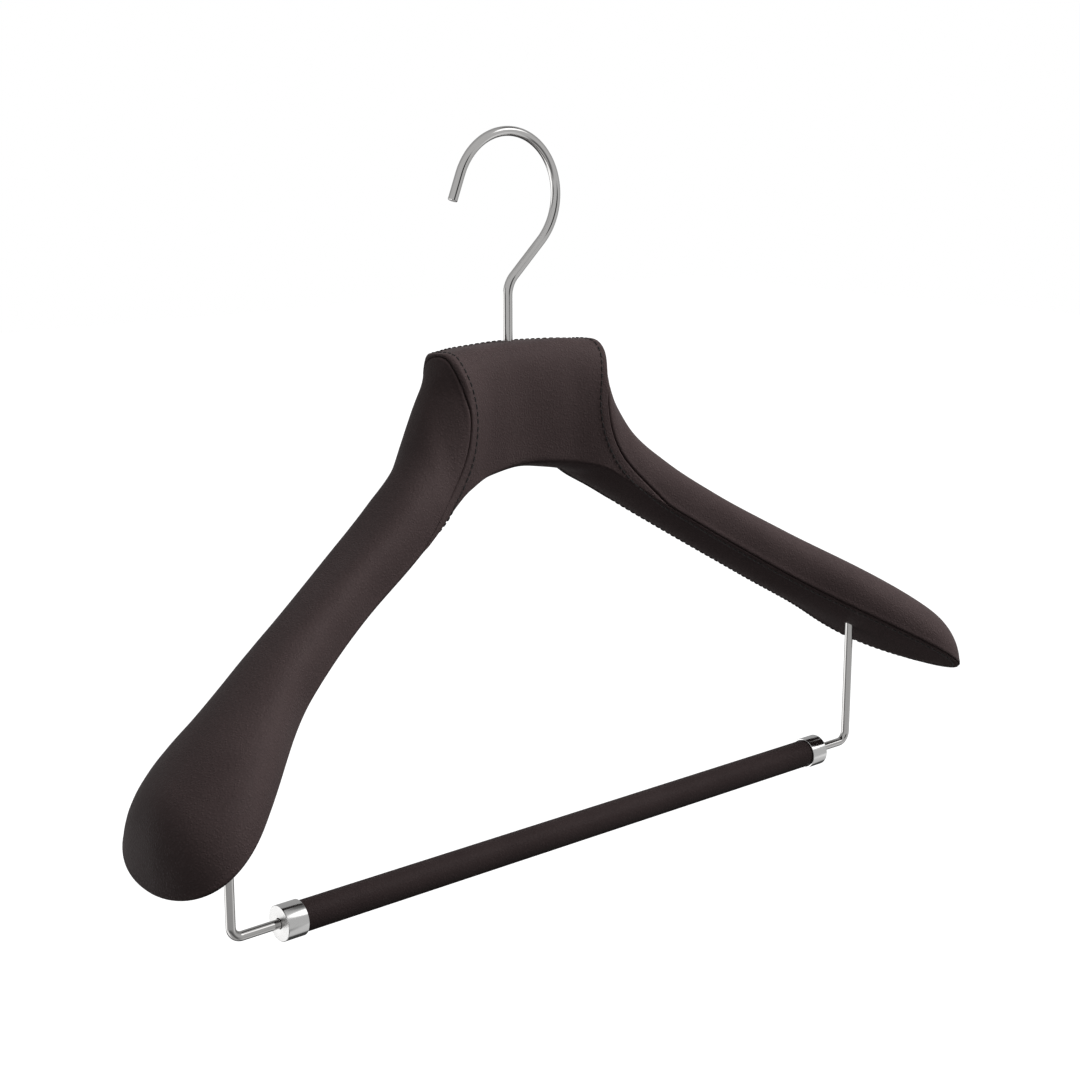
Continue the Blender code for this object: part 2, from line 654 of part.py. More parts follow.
def make_bar(parent):
    """The trouser bar about its own axis: wood, leather, ferrules and the bushes that run on the rods."""
    end = ROD_X - BAR_SIDE_GAP
    filled = end - FERRULE_FACE - GAP
    core_radius = BAR_LEATHER_DIAMETER / 2 - BAR_LEATHER_WALL - GAP
    rod_hole_radius = ROD_WIRE / 2 + GAP
    bush_radius = rod_hole_radius + BAR_BUSH_WALL
    rod = cylinder(core_radius, (-filled, 0, 0), (filled, 0, 0))
    core = add_piece("bar_core", rod, wood("bar_core"), parent)
    cover = lay_along_x(turned(ring(core_radius + GAP, BAR_LEATHER_DIAMETER / 2, -filled, filled)))
    add_piece("bar_leather", cover, leather("bar_leather"), parent)
    ferrule_inside = BAR_LEATHER_DIAMETER / 2 + GAP
    ferrule_outside = ferrule_inside + FERRULE_WALL
    cup = [
        (rod_hole_radius, end),
        (rod_hole_radius, end - FERRULE_FACE),
        (ferrule_inside, end - FERRULE_FACE),
        (ferrule_inside, end - FERRULE_LENGTH),
        (ferrule_outside, end - FERRULE_LENGTH),
        (ferrule_outside, end),
    ]
    bush = ring(rod_hole_radius, bush_radius, filled - BAR_BUSH_LENGTH, filled)
    for side, label in ((-1, "left"), (1, "right")):
        bottom = (side * (filled - BAR_BUSH_LENGTH - GAP), 0, 0)
        mouth = (side * (end + CUT_OVER), 0, 0)
        cut(core, f"bar_core_{label}_bore", cylinder(bush_radius + GAP, bottom, mouth, SMALL_SIDES))
        name = "ferrule_" + label
        ferrule = add_piece(name, lay_along_x(turned(cup), side), steel(name), parent)
        soften(ferrule, FERRULE_BEVEL)
        name = "bar_bush_" + label
        add_piece(name, lay_along_x(turned(bush, SMALL_SIDES), side), nylon(name), parent)


def main():
    for old in list(bpy.data.objects):
        bpy.data.objects.remove(old, do_unlink=True)
    hook_axis = group("hook_axis", (0, 0, 0))
    hanger_frame = group("hanger_frame", (0, 0, NECK_TOP), hook_axis)
    bar_axis = group("bar_axis", (0, ROD_Y, -BAR_DROP), hanger_frame)
    make_hook(hook_axis)
    make_body(hanger_frame)
    for side, label in ((-1, "left"), (1, "right")):
        make_rod("rod_" + label, side, hanger_frame)
    make_bar(bar_axis)


main()
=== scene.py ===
"""Looks of the suit hanger: stitched leather over shaped arms, steel wire, the covered trouser bar, and the studio.

Metres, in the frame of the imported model: +X along the shoulders, -Y to the front, +Z up, and the origin where the
crook rests on its rail. The leather panels, the wires, the ferrules and the bar's sleeve are laid again as fine
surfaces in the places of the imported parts, and the row of stitches is added. The parts inside keep their meshes and
get a finish.
"""

import json
import logging
from dataclasses import dataclass, field
from enum import Enum
from math import acos, cos, pi, radians, sin, tan
from typing import Any

import bpy
import numpy as np
from mathutils import Matrix, Vector


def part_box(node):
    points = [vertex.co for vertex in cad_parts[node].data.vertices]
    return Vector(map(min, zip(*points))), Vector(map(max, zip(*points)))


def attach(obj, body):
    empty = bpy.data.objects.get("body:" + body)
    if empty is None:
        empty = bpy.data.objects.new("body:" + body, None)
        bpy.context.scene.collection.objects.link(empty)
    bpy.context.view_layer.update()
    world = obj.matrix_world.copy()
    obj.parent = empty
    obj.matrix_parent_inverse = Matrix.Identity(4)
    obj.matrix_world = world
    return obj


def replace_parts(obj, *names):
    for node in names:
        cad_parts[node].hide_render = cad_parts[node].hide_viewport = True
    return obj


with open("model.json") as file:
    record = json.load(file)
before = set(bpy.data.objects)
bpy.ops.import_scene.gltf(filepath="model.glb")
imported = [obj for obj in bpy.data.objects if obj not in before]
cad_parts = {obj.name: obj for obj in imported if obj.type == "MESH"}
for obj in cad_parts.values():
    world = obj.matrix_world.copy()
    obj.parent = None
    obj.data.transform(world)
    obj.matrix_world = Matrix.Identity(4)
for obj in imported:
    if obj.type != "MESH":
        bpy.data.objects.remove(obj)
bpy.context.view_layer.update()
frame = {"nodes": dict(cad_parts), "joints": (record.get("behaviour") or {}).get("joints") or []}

MM = 0.001
SHARP = radians(42)  # an edge sharper than this stays sharp
WELD = 1e-8

logging.basicConfig(level=logging.INFO, format="%(name)s: %(message)s")
log = logging.getLogger("suit hanger")

Array = np.ndarray
Colour = tuple[float, float, float]


class Side(Enum):
    """The two ends of the hanger, by the sign of X."""

    LEFT = -1
    RIGHT = 1

    @property
    def word(self) -> str:
        """The word that names this side's pieces."""
        return self.name.lower()


class Panel(Enum):
    """The two leather panels, named by where they lie."""

    OUTER = "outer_panel"  # back of the neck, its end walls and the shoulders
    INNER = "inner_panel"  # front and top of the neck, the arch and the undersides


class Body(Enum):
    """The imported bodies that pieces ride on."""

    HOOK = "hook"
    HANGER = "hanger"
    BAR = "bar"


class Graph:
    """Short calls that add nodes to a tree and join them."""

    def __init__(self, tree: bpy.types.NodeTree) -> None:
        """Keeps the tree to work on, a material's or the world's."""
        self.tree = tree

    def put(self, socket: bpy.types.NodeSocket, value: Any) -> None:
        """Joins a socket to another, or sets its value.

        Args:
            socket: The input to set.
            value: An output socket, or a plain value.
        """
        if isinstance(value, bpy.types.NodeSocket):
            self.tree.links.new(value, socket)
        else:
            socket.default_value = value

    def add(self, kind: str, inputs: dict[Any, Any] | None = None, **settings: Any) -> bpy.types.Node:
        """Adds one node.

        Args:
            kind: The node's Blender type.
            inputs: Values or sockets for its inputs, by name or number.
            **settings: The node's own settings.

        Returns:
            The new node.
        """
        node = self.tree.nodes.new(kind)
        for name, value in settings.items():
            setattr(node, name, value)
        for socket, value in (inputs or {}).items():
            self.put(node.inputs[socket], value)
        return node

    def maths(self, operation: str, *values: Any, clamp: bool = False) -> bpy.types.NodeSocket:
        """The result of a Math node on one to three values, kept between 0 and 1 if clamped."""
        return self.add("ShaderNodeMath", dict(enumerate(values)), operation=operation, use_clamp=clamp).outputs[0]

    def ramp(self, value: Any, low: float, high: float, to_low: float = 0, to_high: float = 1) -> bpy.types.NodeSocket:
        """A value mapped smoothly from the range between low and high to the one between to_low and to_high."""
        inputs = {0: value, 1: low, 2: high, 3: to_low, 4: to_high}
        return self.add("ShaderNodeMapRange", inputs, interpolation_type="SMOOTHSTEP").outputs[0]

    def blend(self, share: Any, first: Colour, second: Colour) -> bpy.types.NodeSocket:
        """Two colours mixed, with this share of the second."""
        return self.add("ShaderNodeMix", {0: share, 6: rgba(first), 7: rgba(second)}, data_type="RGBA").outputs[2]

    def noise(self, place: Any, size: float, detail: float = 2.0, rough: float = 0.5) -> bpy.types.NodeSocket:
        """A cloudy noise about 0.5, whose largest clouds are this many metres wide, with finer layers in them."""
        inputs = {"Vector": place, "Scale": 1 / size, "Detail": detail, "Roughness": rough}
        return self.add("ShaderNodeTexNoise", inputs).outputs[0]

    def place(self) -> bpy.types.NodeSocket:
        """Where on the object a point lies."""
        return self.add("ShaderNodeTexCoord").outputs["Object"]

    def towards(self, way: Any, aim: tuple[float, float, float]) -> bpy.types.NodeSocket:
        """Cosine of the angle between a ray's way and an aim of any length."""
        node = self.add("ShaderNodeVectorMath", {0: way, 1: Vector(aim).normalized()}, operation="DOT_PRODUCT")
        return node.outputs["Value"]

    def along(self, place: Any, share: float) -> bpy.types.NodeSocket:
        """A place whose first coordinate counts for this share only, which draws a pattern out along it."""
        return self.add("ShaderNodeMapping", {"Vector": place, "Scale": (share, 1.0, 1.0)}).outputs[0]

    def bump(self, shader: bpy.types.Node, height: Any, strength: float, depth: float) -> None:
        """Gives a shader's face the relief of a height, this many metres deep."""
        node = self.add("ShaderNodeBump", {"Strength": strength, "Distance": depth, "Height": height})
        self.put(shader.inputs["Normal"], node.outputs[0])


def rgba(colour: Colour) -> tuple[float, float, float, float]:
    """A colour with its alpha."""
    return (*colour, 1.0)


@dataclass(frozen=True)
class Finish:
    """What every finish has: a name and the work of starting its material."""

    name: str

    def start(self, colour: Colour, roughness: float, metallic: float = 0.0) -> tuple[Graph, bpy.types.Node]:
        """Makes the material and sets what is the same all over it.

        Args:
            colour: The base colour.
            roughness: The roughness.
            metallic: 1 for a metal.

        Returns:
            The material's graph and its shader.
        """
        material = bpy.data.materials.new(self.name)
        material.use_nodes = True
        shader = material.node_tree.nodes["Principled BSDF"]
        shader.inputs["Base Color"].default_value = rgba(colour)
        shader.inputs["Roughness"].default_value = roughness
        shader.inputs["Metallic"].default_value = metallic
        return Graph(material.node_tree), shader

    def material(self) -> bpy.types.Material:
        """Makes the finish's material the first time that it is asked for.

        Returns:
            The material.
        """
        if self.name not in bpy.data.materials:
            self.make()
        return bpy.data.materials[self.name]

    def make(self) -> None:
        """Makes the material. Each finish has its own way."""
        raise NotImplementedError(self.name)


@dataclass(frozen=True)
class LeatherFinish(Finish):
    """Dark brown leather: a pebbled grain with finer creases in it, cloudy dye and a satin face."""

    dye: Colour = (0.062, 0.0445, 0.0445)
    worn: Colour = (0.082, 0.060, 0.0595)
    grain: float = 1.0 * MM
    relief: float = 0.15 * MM
    roughness: float = 0.50
    gloss: float = 0.045
    drift: float = 9 * MM  # width of the waves that bend the grain
    fine: float = 0.22 * MM
    cloud: float = 34 * MM
    patch: float = 12 * MM  # width of the patches of more and less polish

    def make(self) -> None:
        """Lays cells of two sizes on coordinates that a slow noise bends, and dyes their tops a little paler."""
        graph, shader = self.start(self.dye, self.roughness)
        shader.inputs["Specular IOR Level"].default_value = self.gloss
        place = graph.place()
        drift = graph.add("ShaderNodeTexNoise", {"Vector": place, "Scale": 1 / self.drift, "Detail": 2.0})
        bending = {0: drift.outputs["Color"], 1: (1.1 * self.grain,) * 3, 2: place}
        bent = graph.add("ShaderNodeVectorMath", bending, operation="MULTIPLY_ADD").outputs[0]
        cells = {"Vector": bent, "Scale": 1 / self.grain, "Smoothness": 0.5}
        pebble = graph.add("ShaderNodeTexVoronoi", cells, feature="SMOOTH_F1").outputs["Distance"]
        cells = {"Vector": bent, "Scale": 0.62 / self.grain}
        crease = graph.add("ShaderNodeTexVoronoi", cells, feature="DISTANCE_TO_EDGE").outputs["Distance"]
        top = graph.ramp(pebble, 0.55, 0.1)
        fold = graph.ramp(crease, 0.0, 0.16)
        height = graph.maths("MULTIPLY_ADD", top, 0.70, graph.maths("MULTIPLY", fold, 0.30))
        height = graph.maths("MULTIPLY_ADD", graph.noise(place, self.fine, 3.0, 0.6), 0.22, height)
        graph.bump(shader, height, 1.0, self.relief)
        cloud = graph.ramp(graph.noise(place, self.cloud, 3.0, 0.55), 0.3, 0.7, 0.0, 0.45)
        share = graph.maths("MULTIPLY_ADD", height, 0.45, cloud, clamp=True)
        graph.put(shader.inputs["Base Color"], graph.blend(share, self.dye, self.worn))
        rough = graph.maths("MULTIPLY_ADD", graph.noise(place, self.patch, 2.0), 0.10, self.roughness - 0.05)
        graph.put(shader.inputs["Roughness"], graph.maths("MULTIPLY_ADD", height, -0.06, rough))


@dataclass(frozen=True)
class ThreadFinish(Finish):
    """Waxed thread, near black, whose twist follows the stitch's own UV map."""

    colour: Colour = (0.008, 0.007, 0.007)
    worn: Colour = (0.018, 0.015, 0.015)
    ply: float = 0.09 * MM
    plies: float = 3.4  # how many cross a stitch
    slant: float = 2.0  # how many more a turn round it crosses

    def make(self) -> None:
        """Runs slanting plies round the thread: a wave over its length plus its turn."""
        graph, shader = self.start(self.colour, 0.5)
        mapped = graph.add("ShaderNodeSeparateXYZ", {0: graph.add("ShaderNodeUVMap").outputs[0]}).outputs
        phase = graph.maths("MULTIPLY_ADD", mapped[0], self.plies, graph.maths("MULTIPLY", mapped[1], self.slant))
        wave = graph.maths("SINE", graph.maths("MULTIPLY", phase, 2 * pi))
        height = graph.maths("MULTIPLY_ADD", wave, 0.5, 0.5)
        graph.put(shader.inputs["Base Color"], graph.blend(height, self.colour, self.worn))
        graph.bump(shader, height, 0.8, self.ply)


@dataclass(frozen=True)
class WireFinish(Finish):
    """Nickel-plated wire: bright, with faint drawing lines along it, on a UV map in metres along and round."""

    colour: Colour = (0.72, 0.71, 0.70)
    roughness: float = 0.11
    line: float = 0.16 * MM
    cloud: float = 6 * MM

    def make(self) -> None:
        """Stretches a noise along the wire for its drawing lines, and clouds the polish."""
        graph, shader = self.start(self.colour, self.roughness, 1.0)
        lines = graph.noise(graph.along(graph.add("ShaderNodeUVMap").outputs[0], 0.012), self.line)
        cloud = graph.noise(graph.place(), self.cloud, 3.0)
        rough = graph.maths("MULTIPLY_ADD", cloud, 0.08, self.roughness - 0.07)
        graph.put(shader.inputs["Roughness"], graph.maths("MULTIPLY_ADD", lines, 0.07, rough))
        graph.bump(shader, lines, 0.25, 0.004 * MM)


@dataclass(frozen=True)
class FerruleFinish(Finish):
    """A turned metal cap: polished side with fine lathe lines, and a finely blasted end face."""

    face: float = 0.16  # distance of the end face from the middle
    colour: Colour = (0.76, 0.755, 0.75)
    line: float = 0.11 * MM
    speck: float = 0.28 * MM
    polished: float = 0.09
    blasted: float = 0.20  # how much rougher the end face is

    def make(self) -> None:
        """Reads how near the end face a point lies, and blends the two finishes there."""
        graph, shader = self.start(self.colour, 0.12, 1.0)
        place = graph.place()
        along = graph.add("ShaderNodeSeparateXYZ", {0: place}).outputs[0]
        blasted = graph.ramp(graph.maths("ABSOLUTE", along), self.face - 0.09 * MM, self.face - 0.03 * MM)
        speck = graph.noise(place, self.speck, 4.0, 0.75)
        lines = graph.noise(graph.add("ShaderNodeCombineXYZ", {0: along}).outputs[0], self.line)
        rough = graph.maths("MULTIPLY_ADD", lines, 0.06, self.polished)
        rough = graph.maths("MULTIPLY_ADD", blasted, self.blasted, rough)
        graph.put(shader.inputs["Roughness"], graph.maths("MULTIPLY_ADD", speck, 0.05, rough))
        height = graph.maths("MULTIPLY_ADD", graph.maths("MULTIPLY", blasted, speck), 6.0, lines)
        graph.bump(shader, height, 0.6, 0.006 * MM)


@dataclass(frozen=True)
class WoodFinish(Finish):
    """Bare beech: rings cut along the grain, with short dark flecks."""

    pale: Colour = (0.56, 0.38, 0.23)
    dark: Colour = (0.42, 0.26, 0.14)
    ring: float = 3.5 * MM
    fleck: float = 0.7 * MM

    def make(self) -> None:
        """Draws a noise out along X for the grain and lays rings on what it bends."""
        graph, shader = self.start(self.pale, 0.55)
        drawn = graph.along(graph.place(), 0.06)
        grain = graph.noise(drawn, self.ring, 4.0, 0.6)
        rings = graph.maths("SINE", graph.maths("MULTIPLY", grain, 38.0))
        fleck = graph.ramp(graph.noise(drawn, self.fleck), 0.6, 0.75)
        share = graph.maths("MULTIPLY_ADD", rings, 0.25, graph.maths("MULTIPLY_ADD", fleck, 0.5, 0.3), clamp=True)
        graph.put(shader.inputs["Base Color"], graph.blend(share, self.pale, self.dark))
        graph.bump(shader, grain, 0.4, 0.05 * MM)


@dataclass(frozen=True)
class TurnedFinish(Finish):
    """A small turned part of metal or nylon: one colour, fine lines and a cloudy polish."""

    colour: Colour = (0.55, 0.55, 0.55)
    roughness: float = 0.3
    metallic: float = 1.0
    mark: float = 0.3 * MM
    cloud: float = 3 * MM

    def make(self) -> None:
        """Clouds the roughness and lays fine marks over the surface."""
        graph, shader = self.start(self.colour, self.roughness, self.metallic)
        place = graph.place()
        rough = graph.maths("MULTIPLY_ADD", graph.noise(place, self.cloud), 0.16, self.roughness - 0.08)
        graph.put(shader.inputs["Roughness"], rough)
        graph.bump(shader, graph.noise(place, self.mark, 3.0, 0.6), 0.4, 0.01 * MM)


@dataclass(frozen=True)
class FloorFinish(Finish):
    """The studio's floor: matt, so that it takes a shadow, and white to the camera by a glow of its own."""

    colour: Colour = (0.85, 0.85, 0.85)
    roughness: float = 0.9
    strength: float = 1.35
    glow: float = 0.82  # how much of the white that the camera sees is the floor's own

    def make(self) -> None:
        """Mixes the glow in where the camera looks at the floor."""
        graph, shader = self.start(self.colour, self.roughness)
        glow = graph.add("ShaderNodeEmission", {"Strength": self.strength})
        path = graph.add("ShaderNodeLightPath").outputs
        share = graph.maths("MULTIPLY", path["Is Camera Ray"], self.glow)
        mix = graph.add("ShaderNodeMixShader", {0: share, 1: shader.outputs[0], 2: glow.outputs[0]})
        graph.put(graph.tree.nodes["Material Output"].inputs["Surface"], mix.outputs[0])


PANEL_LEATHER = LeatherFinish("panel leather")
# The bar's leather is the panel leather darkened to about half: painted shade for the bar, which lies under the arms.
SHADED_BAR_LEATHER = LeatherFinish("bar leather with painted shade", dye=(0.030, 0.0215, 0.0215), worn=(0.042, 0.0305, 0.0305), relief=0.09 * MM)
SEAM_THREAD = ThreadFinish("seam thread")
HOOK_STEEL = WireFinish("hook steel")
# The rods' steel is the hook's wire darkened: painted shade for the darker reflections of the rods near the leather and
# the bar.
SHADED_ROD_STEEL = WireFinish("rod steel with painted shade", colour=(0.60, 0.59, 0.58))
ARM_WOOD = WoodFinish("arm wood")
DOWEL_WOOD = WoodFinish("dowel wood", pale=(0.60, 0.42, 0.27), dark=(0.47, 0.31, 0.18))
FASTENER_STEEL = TurnedFinish("fastener steel")
BUSH_BRASS = TurnedFinish("bush brass", colour=(0.75, 0.55, 0.28))
BUSH_NYLON = TurnedFinish("bush nylon", colour=(0.75, 0.73, 0.68), roughness=0.45, metallic=0.0)


def grid_cells(rows: int, columns: int, closed: bool = True) -> Array:
    """Corners of the cells of a grid that is stored row by row.

    Args:
        rows: How many rows of points it has.
        columns: How many points each row has.
        closed: Whether each row's last point joins its first.

    Returns:
        Point numbers, four to a cell.
    """
    row = np.arange(rows - 1)[:, None]
    column = np.arange(columns if closed else columns - 1)[None, :]
    after = (column + 1) % columns
    corners = (row * columns + column, row * columns + after, (row + 1) * columns + after, (row + 1) * columns + column)
    return np.stack(corners, axis=-1).reshape(-1, 4)


def welded(points: Array, cells: Array) -> tuple[Array, Array]:
    """Joins points that lie in the same place.

    Args:
        points: The points.
        cells: Their cells.

    Returns:
        The points that are left, and the cells on them.
    """
    keys = np.round(points / WELD).astype(np.int64)
    _, first, number = np.unique(keys, axis=0, return_index=True, return_inverse=True)
    return points[first], number.reshape(-1)[cells]


def facing_out(points: Array, cells: Array) -> Array:
    """Turns the cells of a closed surface round if its volume comes out below zero.

    The volume is a sixth of the sum of the triple products of each triangle's corners.

    Args:
        points: The surface's points.
        cells: Its cells.

    Returns:
        The cells, facing out.
    """
    a, b, c, d = (points[cells[:, corner]] for corner in range(4))
    volume = (a * np.cross(b, c)).sum() + (a * np.cross(c, d)).sum()
    return cells if volume > 0 else cells[:, ::-1]


def lengths(points: Array) -> Array:
    """Length of a line, or of each of several, run up to each of its points.

    Args:
        points: The points, in the last two axes.

    Returns:
        The lengths, from nought.
    """
    steps = np.linalg.norm(np.diff(points, axis=-2), axis=-1)
    return np.concatenate([np.zeros_like(steps[..., :1]), np.cumsum(steps, axis=-1)], axis=-1)


def tube_uv(along: Array, sides: int, width: float) -> Array:
    """Two numbers for each corner of a tube's cells: one along it and one round it.

    Args:
        along: The number along it, for each of its rings.
        sides: How many sides it has.
        width: The number round it, for one side.

    Returns:
        The numbers, for each corner of each cell.
    """
    row = np.repeat(np.arange(len(along) - 1), sides)
    column = np.tile(np.arange(sides), len(along) - 1)
    u = along[np.stack([row, row, row + 1, row + 1], axis=1)]
    v = np.stack([column, column + 1, column + 1, column], axis=1) * width
    return np.stack([u, v], axis=-1)


def point_normals(points: Array, cells: Array) -> Array:
    """Normals of points, each the mean of its cells' normals by area.

    A cell's normal is the cross product of its diagonals.

    Args:
        points: The points.
        cells: The cells that count.

    Returns:
        One unit vector for each point, or nought where it has no cell.
    """
    a, b, c, d = (points[cells[:, corner]] for corner in range(4))
    across = np.cross(c - a, d - b)
    total = np.zeros_like(points)
    for corner in range(4):
        for axis in range(3):
            total[:, axis] += np.bincount(cells[:, corner], weights=across[:, axis], minlength=len(points))
    return unit(total)


def unit(vectors: Array) -> Array:
    """Vectors brought to length 1, and nought left as it is."""
    length = np.linalg.norm(vectors, axis=-1, keepdims=True)
    return vectors / np.where(length > 0, length, 1.0)


def eased(value: Array) -> Array:
    """0 to 1, level at both ends: three squares less two cubes of the clipped value."""
    t = np.clip(value, 0, 1)
    return t * t * (3 - 2 * t)


def new_mesh(name: str, points: Array, cells: Array, uv: Array | None = None) -> bpy.types.Mesh:
    """Makes a closed mesh that faces out. A cell with two equal corners becomes a triangle.

    Args:
        name: The mesh's name.
        points: Its points, in place.
        cells: Its cells, four corners each.
        uv: Two numbers for each corner of each cell.

    Returns:
        The mesh.
    """
    points, cells = welded(points, cells)
    turned = facing_out(points, cells)
    if uv is not None and turned is not cells:
        uv = uv[:, ::-1]
    keep = turned != np.roll(turned, -1, axis=1)
    whole = keep.sum(axis=1) >= 3
    faces = [corners[kept].tolist() for corners, kept in zip(turned[whole], keep[whole])]
    mesh = bpy.data.meshes.new(name)
    mesh.from_pydata(points.tolist(), [], faces)
    if uv is not None:
        mesh.uv_layers.new(name="UVMap").data.foreach_set("uv", uv[whole][keep[whole]].ravel())
    mesh.update()
    return mesh


def shade(mesh: bpy.types.Mesh) -> None:
    """Shades a mesh smooth, but for its sharp edges."""
    mesh.shade_smooth()
    mesh.set_sharp_from_angle(angle=SHARP)


def placed(name: str, data: bpy.types.ID) -> bpy.types.Object:
    """Makes an object of a mesh, a lamp or a camera, and puts it in the scene.

    Args:
        name: Its name.
        data: What it is made of.

    Returns:
        The object.
    """
    thing = bpy.data.objects.new(name, data)
    bpy.context.scene.collection.objects.link(thing)
    return thing


def make_piece(mesh: bpy.types.Mesh, finish: Finish, body: Body) -> bpy.types.Object:
    """Makes a piece of a mesh: shades it, dresses it and lets it ride.

    Args:
        mesh: The mesh, which gives the piece its name.
        finish: Its finish.
        body: The body that it rides on.

    Returns:
        The piece.
    """
    shade(mesh)
    mesh.materials.append(finish.material())
    piece = placed(mesh.name, mesh)
    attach(piece, body.value)
    log.info("%s: %d faces on %s", mesh.name, len(mesh.polygons), body.value)
    return piece


def dress(node: str, finish: Finish) -> None:
    """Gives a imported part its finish.

    Args:
        node: The part's name.
        finish: The finish.
    """
    materials = frame["nodes"][node].data.materials
    materials.clear()
    materials.append(finish.material())
    log.info("%s: packed mesh in %s", node, finish.name)


@dataclass(frozen=True)
class LowerEdges:
    """The lower edges of a template across the covered arms, about the top of the neck."""

    x: float
    front: tuple[float, float]  # y and z
    back: tuple[float, float]


@dataclass(frozen=True)
class Crown:
    """The shape over a template's lower edges: the height of its crest and how boxy it is."""

    x: float
    crest: float
    fullness: float  # 2 is an ellipse, more is boxier
    back: float  # the same for the half behind the crest


class FairLine:
    """A value along the hanger, faired through the templates.

    Between templates it is the monotone cubic, and a bell-shaped mean over a millimetre or so then rounds it off.
    """

    STEP = 0.2 * MM
    ROUNDING = 1.3 * MM
    MARGIN = 12 * MM

    def __init__(self, places: Array, values: Array) -> None:
        """Fairs the line once, on a fine row of places.

        Args:
            places: Distances of the templates from the middle.
            values: The value at each.
        """
        fine = np.arange(-self.MARGIN, places[-1] + 4 * self.MARGIN, self.STEP)
        raw = self.monotone(places, values, np.abs(fine))
        reach = int(3 * self.ROUNDING / self.STEP)
        bell = np.exp(-0.5 * (np.arange(-reach, reach + 1) * self.STEP / self.ROUNDING) ** 2)
        ends = np.pad(raw, reach, mode="reflect", reflect_type="odd")
        self.places = fine
        self.values = np.convolve(ends, bell / bell.sum(), mode="valid")

    @staticmethod
    def monotone(places: Array, values: Array, at: Array) -> Array:
        """The cubic that never overshoots: each slope is the harmonic mean of its neighbours', or level.

        It is level where it starts in the middle of the neck, and straight on beyond its ends elsewhere.

        Args:
            places: Where the values are given.
            values: The values.
            at: Where to read the line.

        Returns:
            The line's values.
        """
        step = np.diff(places)
        slope = np.diff(values) / step
        before, after = slope[:-1], slope[1:]
        near, far = 2 * step[1:] + step[:-1], step[1:] + 2 * step[:-1]
        alike = before * after > 0
        mean = (near + far) / (near / np.where(alike, before, 1.0) + far / np.where(alike, after, 1.0))
        start = slope[0] if places[0] > 0 else 0.0
        slopes = np.concatenate([[start], np.where(alike, mean, 0.0), slope[-1:]])
        left = np.clip(np.searchsorted(places, at, side="right") - 1, 0, len(places) - 2)
        t = np.clip((at - places[left]) / step[left], 0, 1)
        low = (1 + 2 * t) * (1 - t) ** 2 * values[left] + t * (1 - t) ** 2 * step[left] * slopes[left]
        high = t**2 * (3 - 2 * t) * values[left + 1] + t**2 * (t - 1) * step[left] * slopes[left + 1]
        ends = np.minimum(at - places[0], 0) * slopes[0] + np.maximum(at - places[-1], 0) * slopes[-1]
        return low + high + ends

    def at(self, x: Array) -> Array:
        """The line's values at the distances x from the middle."""
        return np.interp(x, self.places, self.values)


@dataclass(frozen=True)
class SeamLine:
    """Where the seam crosses the neck: how far from the middle, by the turn."""

    waist: float = 0.039
    head: float = 0.0411
    foot: float = 0.072
    foot_turn: float = 0.04
    head_turns: tuple[float, float] = (0.15, 0.25)
    back_turn: float = 0.734
    back_rise: float = 0.052  # how much of a turn the seam behind the neck rises towards its corners
    back_rise_from: float = 0.024

    def x(self, turn: Array) -> Array:
        """Distance from the middle: the waist, a foot that dies away, an eased head, and eased again underneath.

        Args:
            turn: Turns round the section.

        Returns:
            The distances.
        """
        foot = (self.foot - self.waist) * np.exp(-turn / self.foot_turn)
        low, high = self.head_turns
        head = (self.head - self.waist) * eased((turn - low) / (high - low))
        under = self.head + (self.foot - self.head) * eased(turn - 1)
        return np.where(turn <= 1, self.waist + foot + head, under)

    def behind(self, side: Array) -> Array:
        """The turn of the seam behind the neck and the arms, which falls off a little towards the neck's corners."""
        return self.back_turn - self.back_rise * eased((side - self.back_rise_from) / (self.head - self.back_rise_from))

    def height(self, side: Array) -> Array:
        """Height at which it crosses the front of a section: the tangent of the turn that leads to this distance."""
        turn = self.foot_turn * np.log((self.foot - self.waist) / np.maximum(side - self.waist, WELD))
        return np.tan(pi * np.clip(turn, 0, self.head_turns[1]))


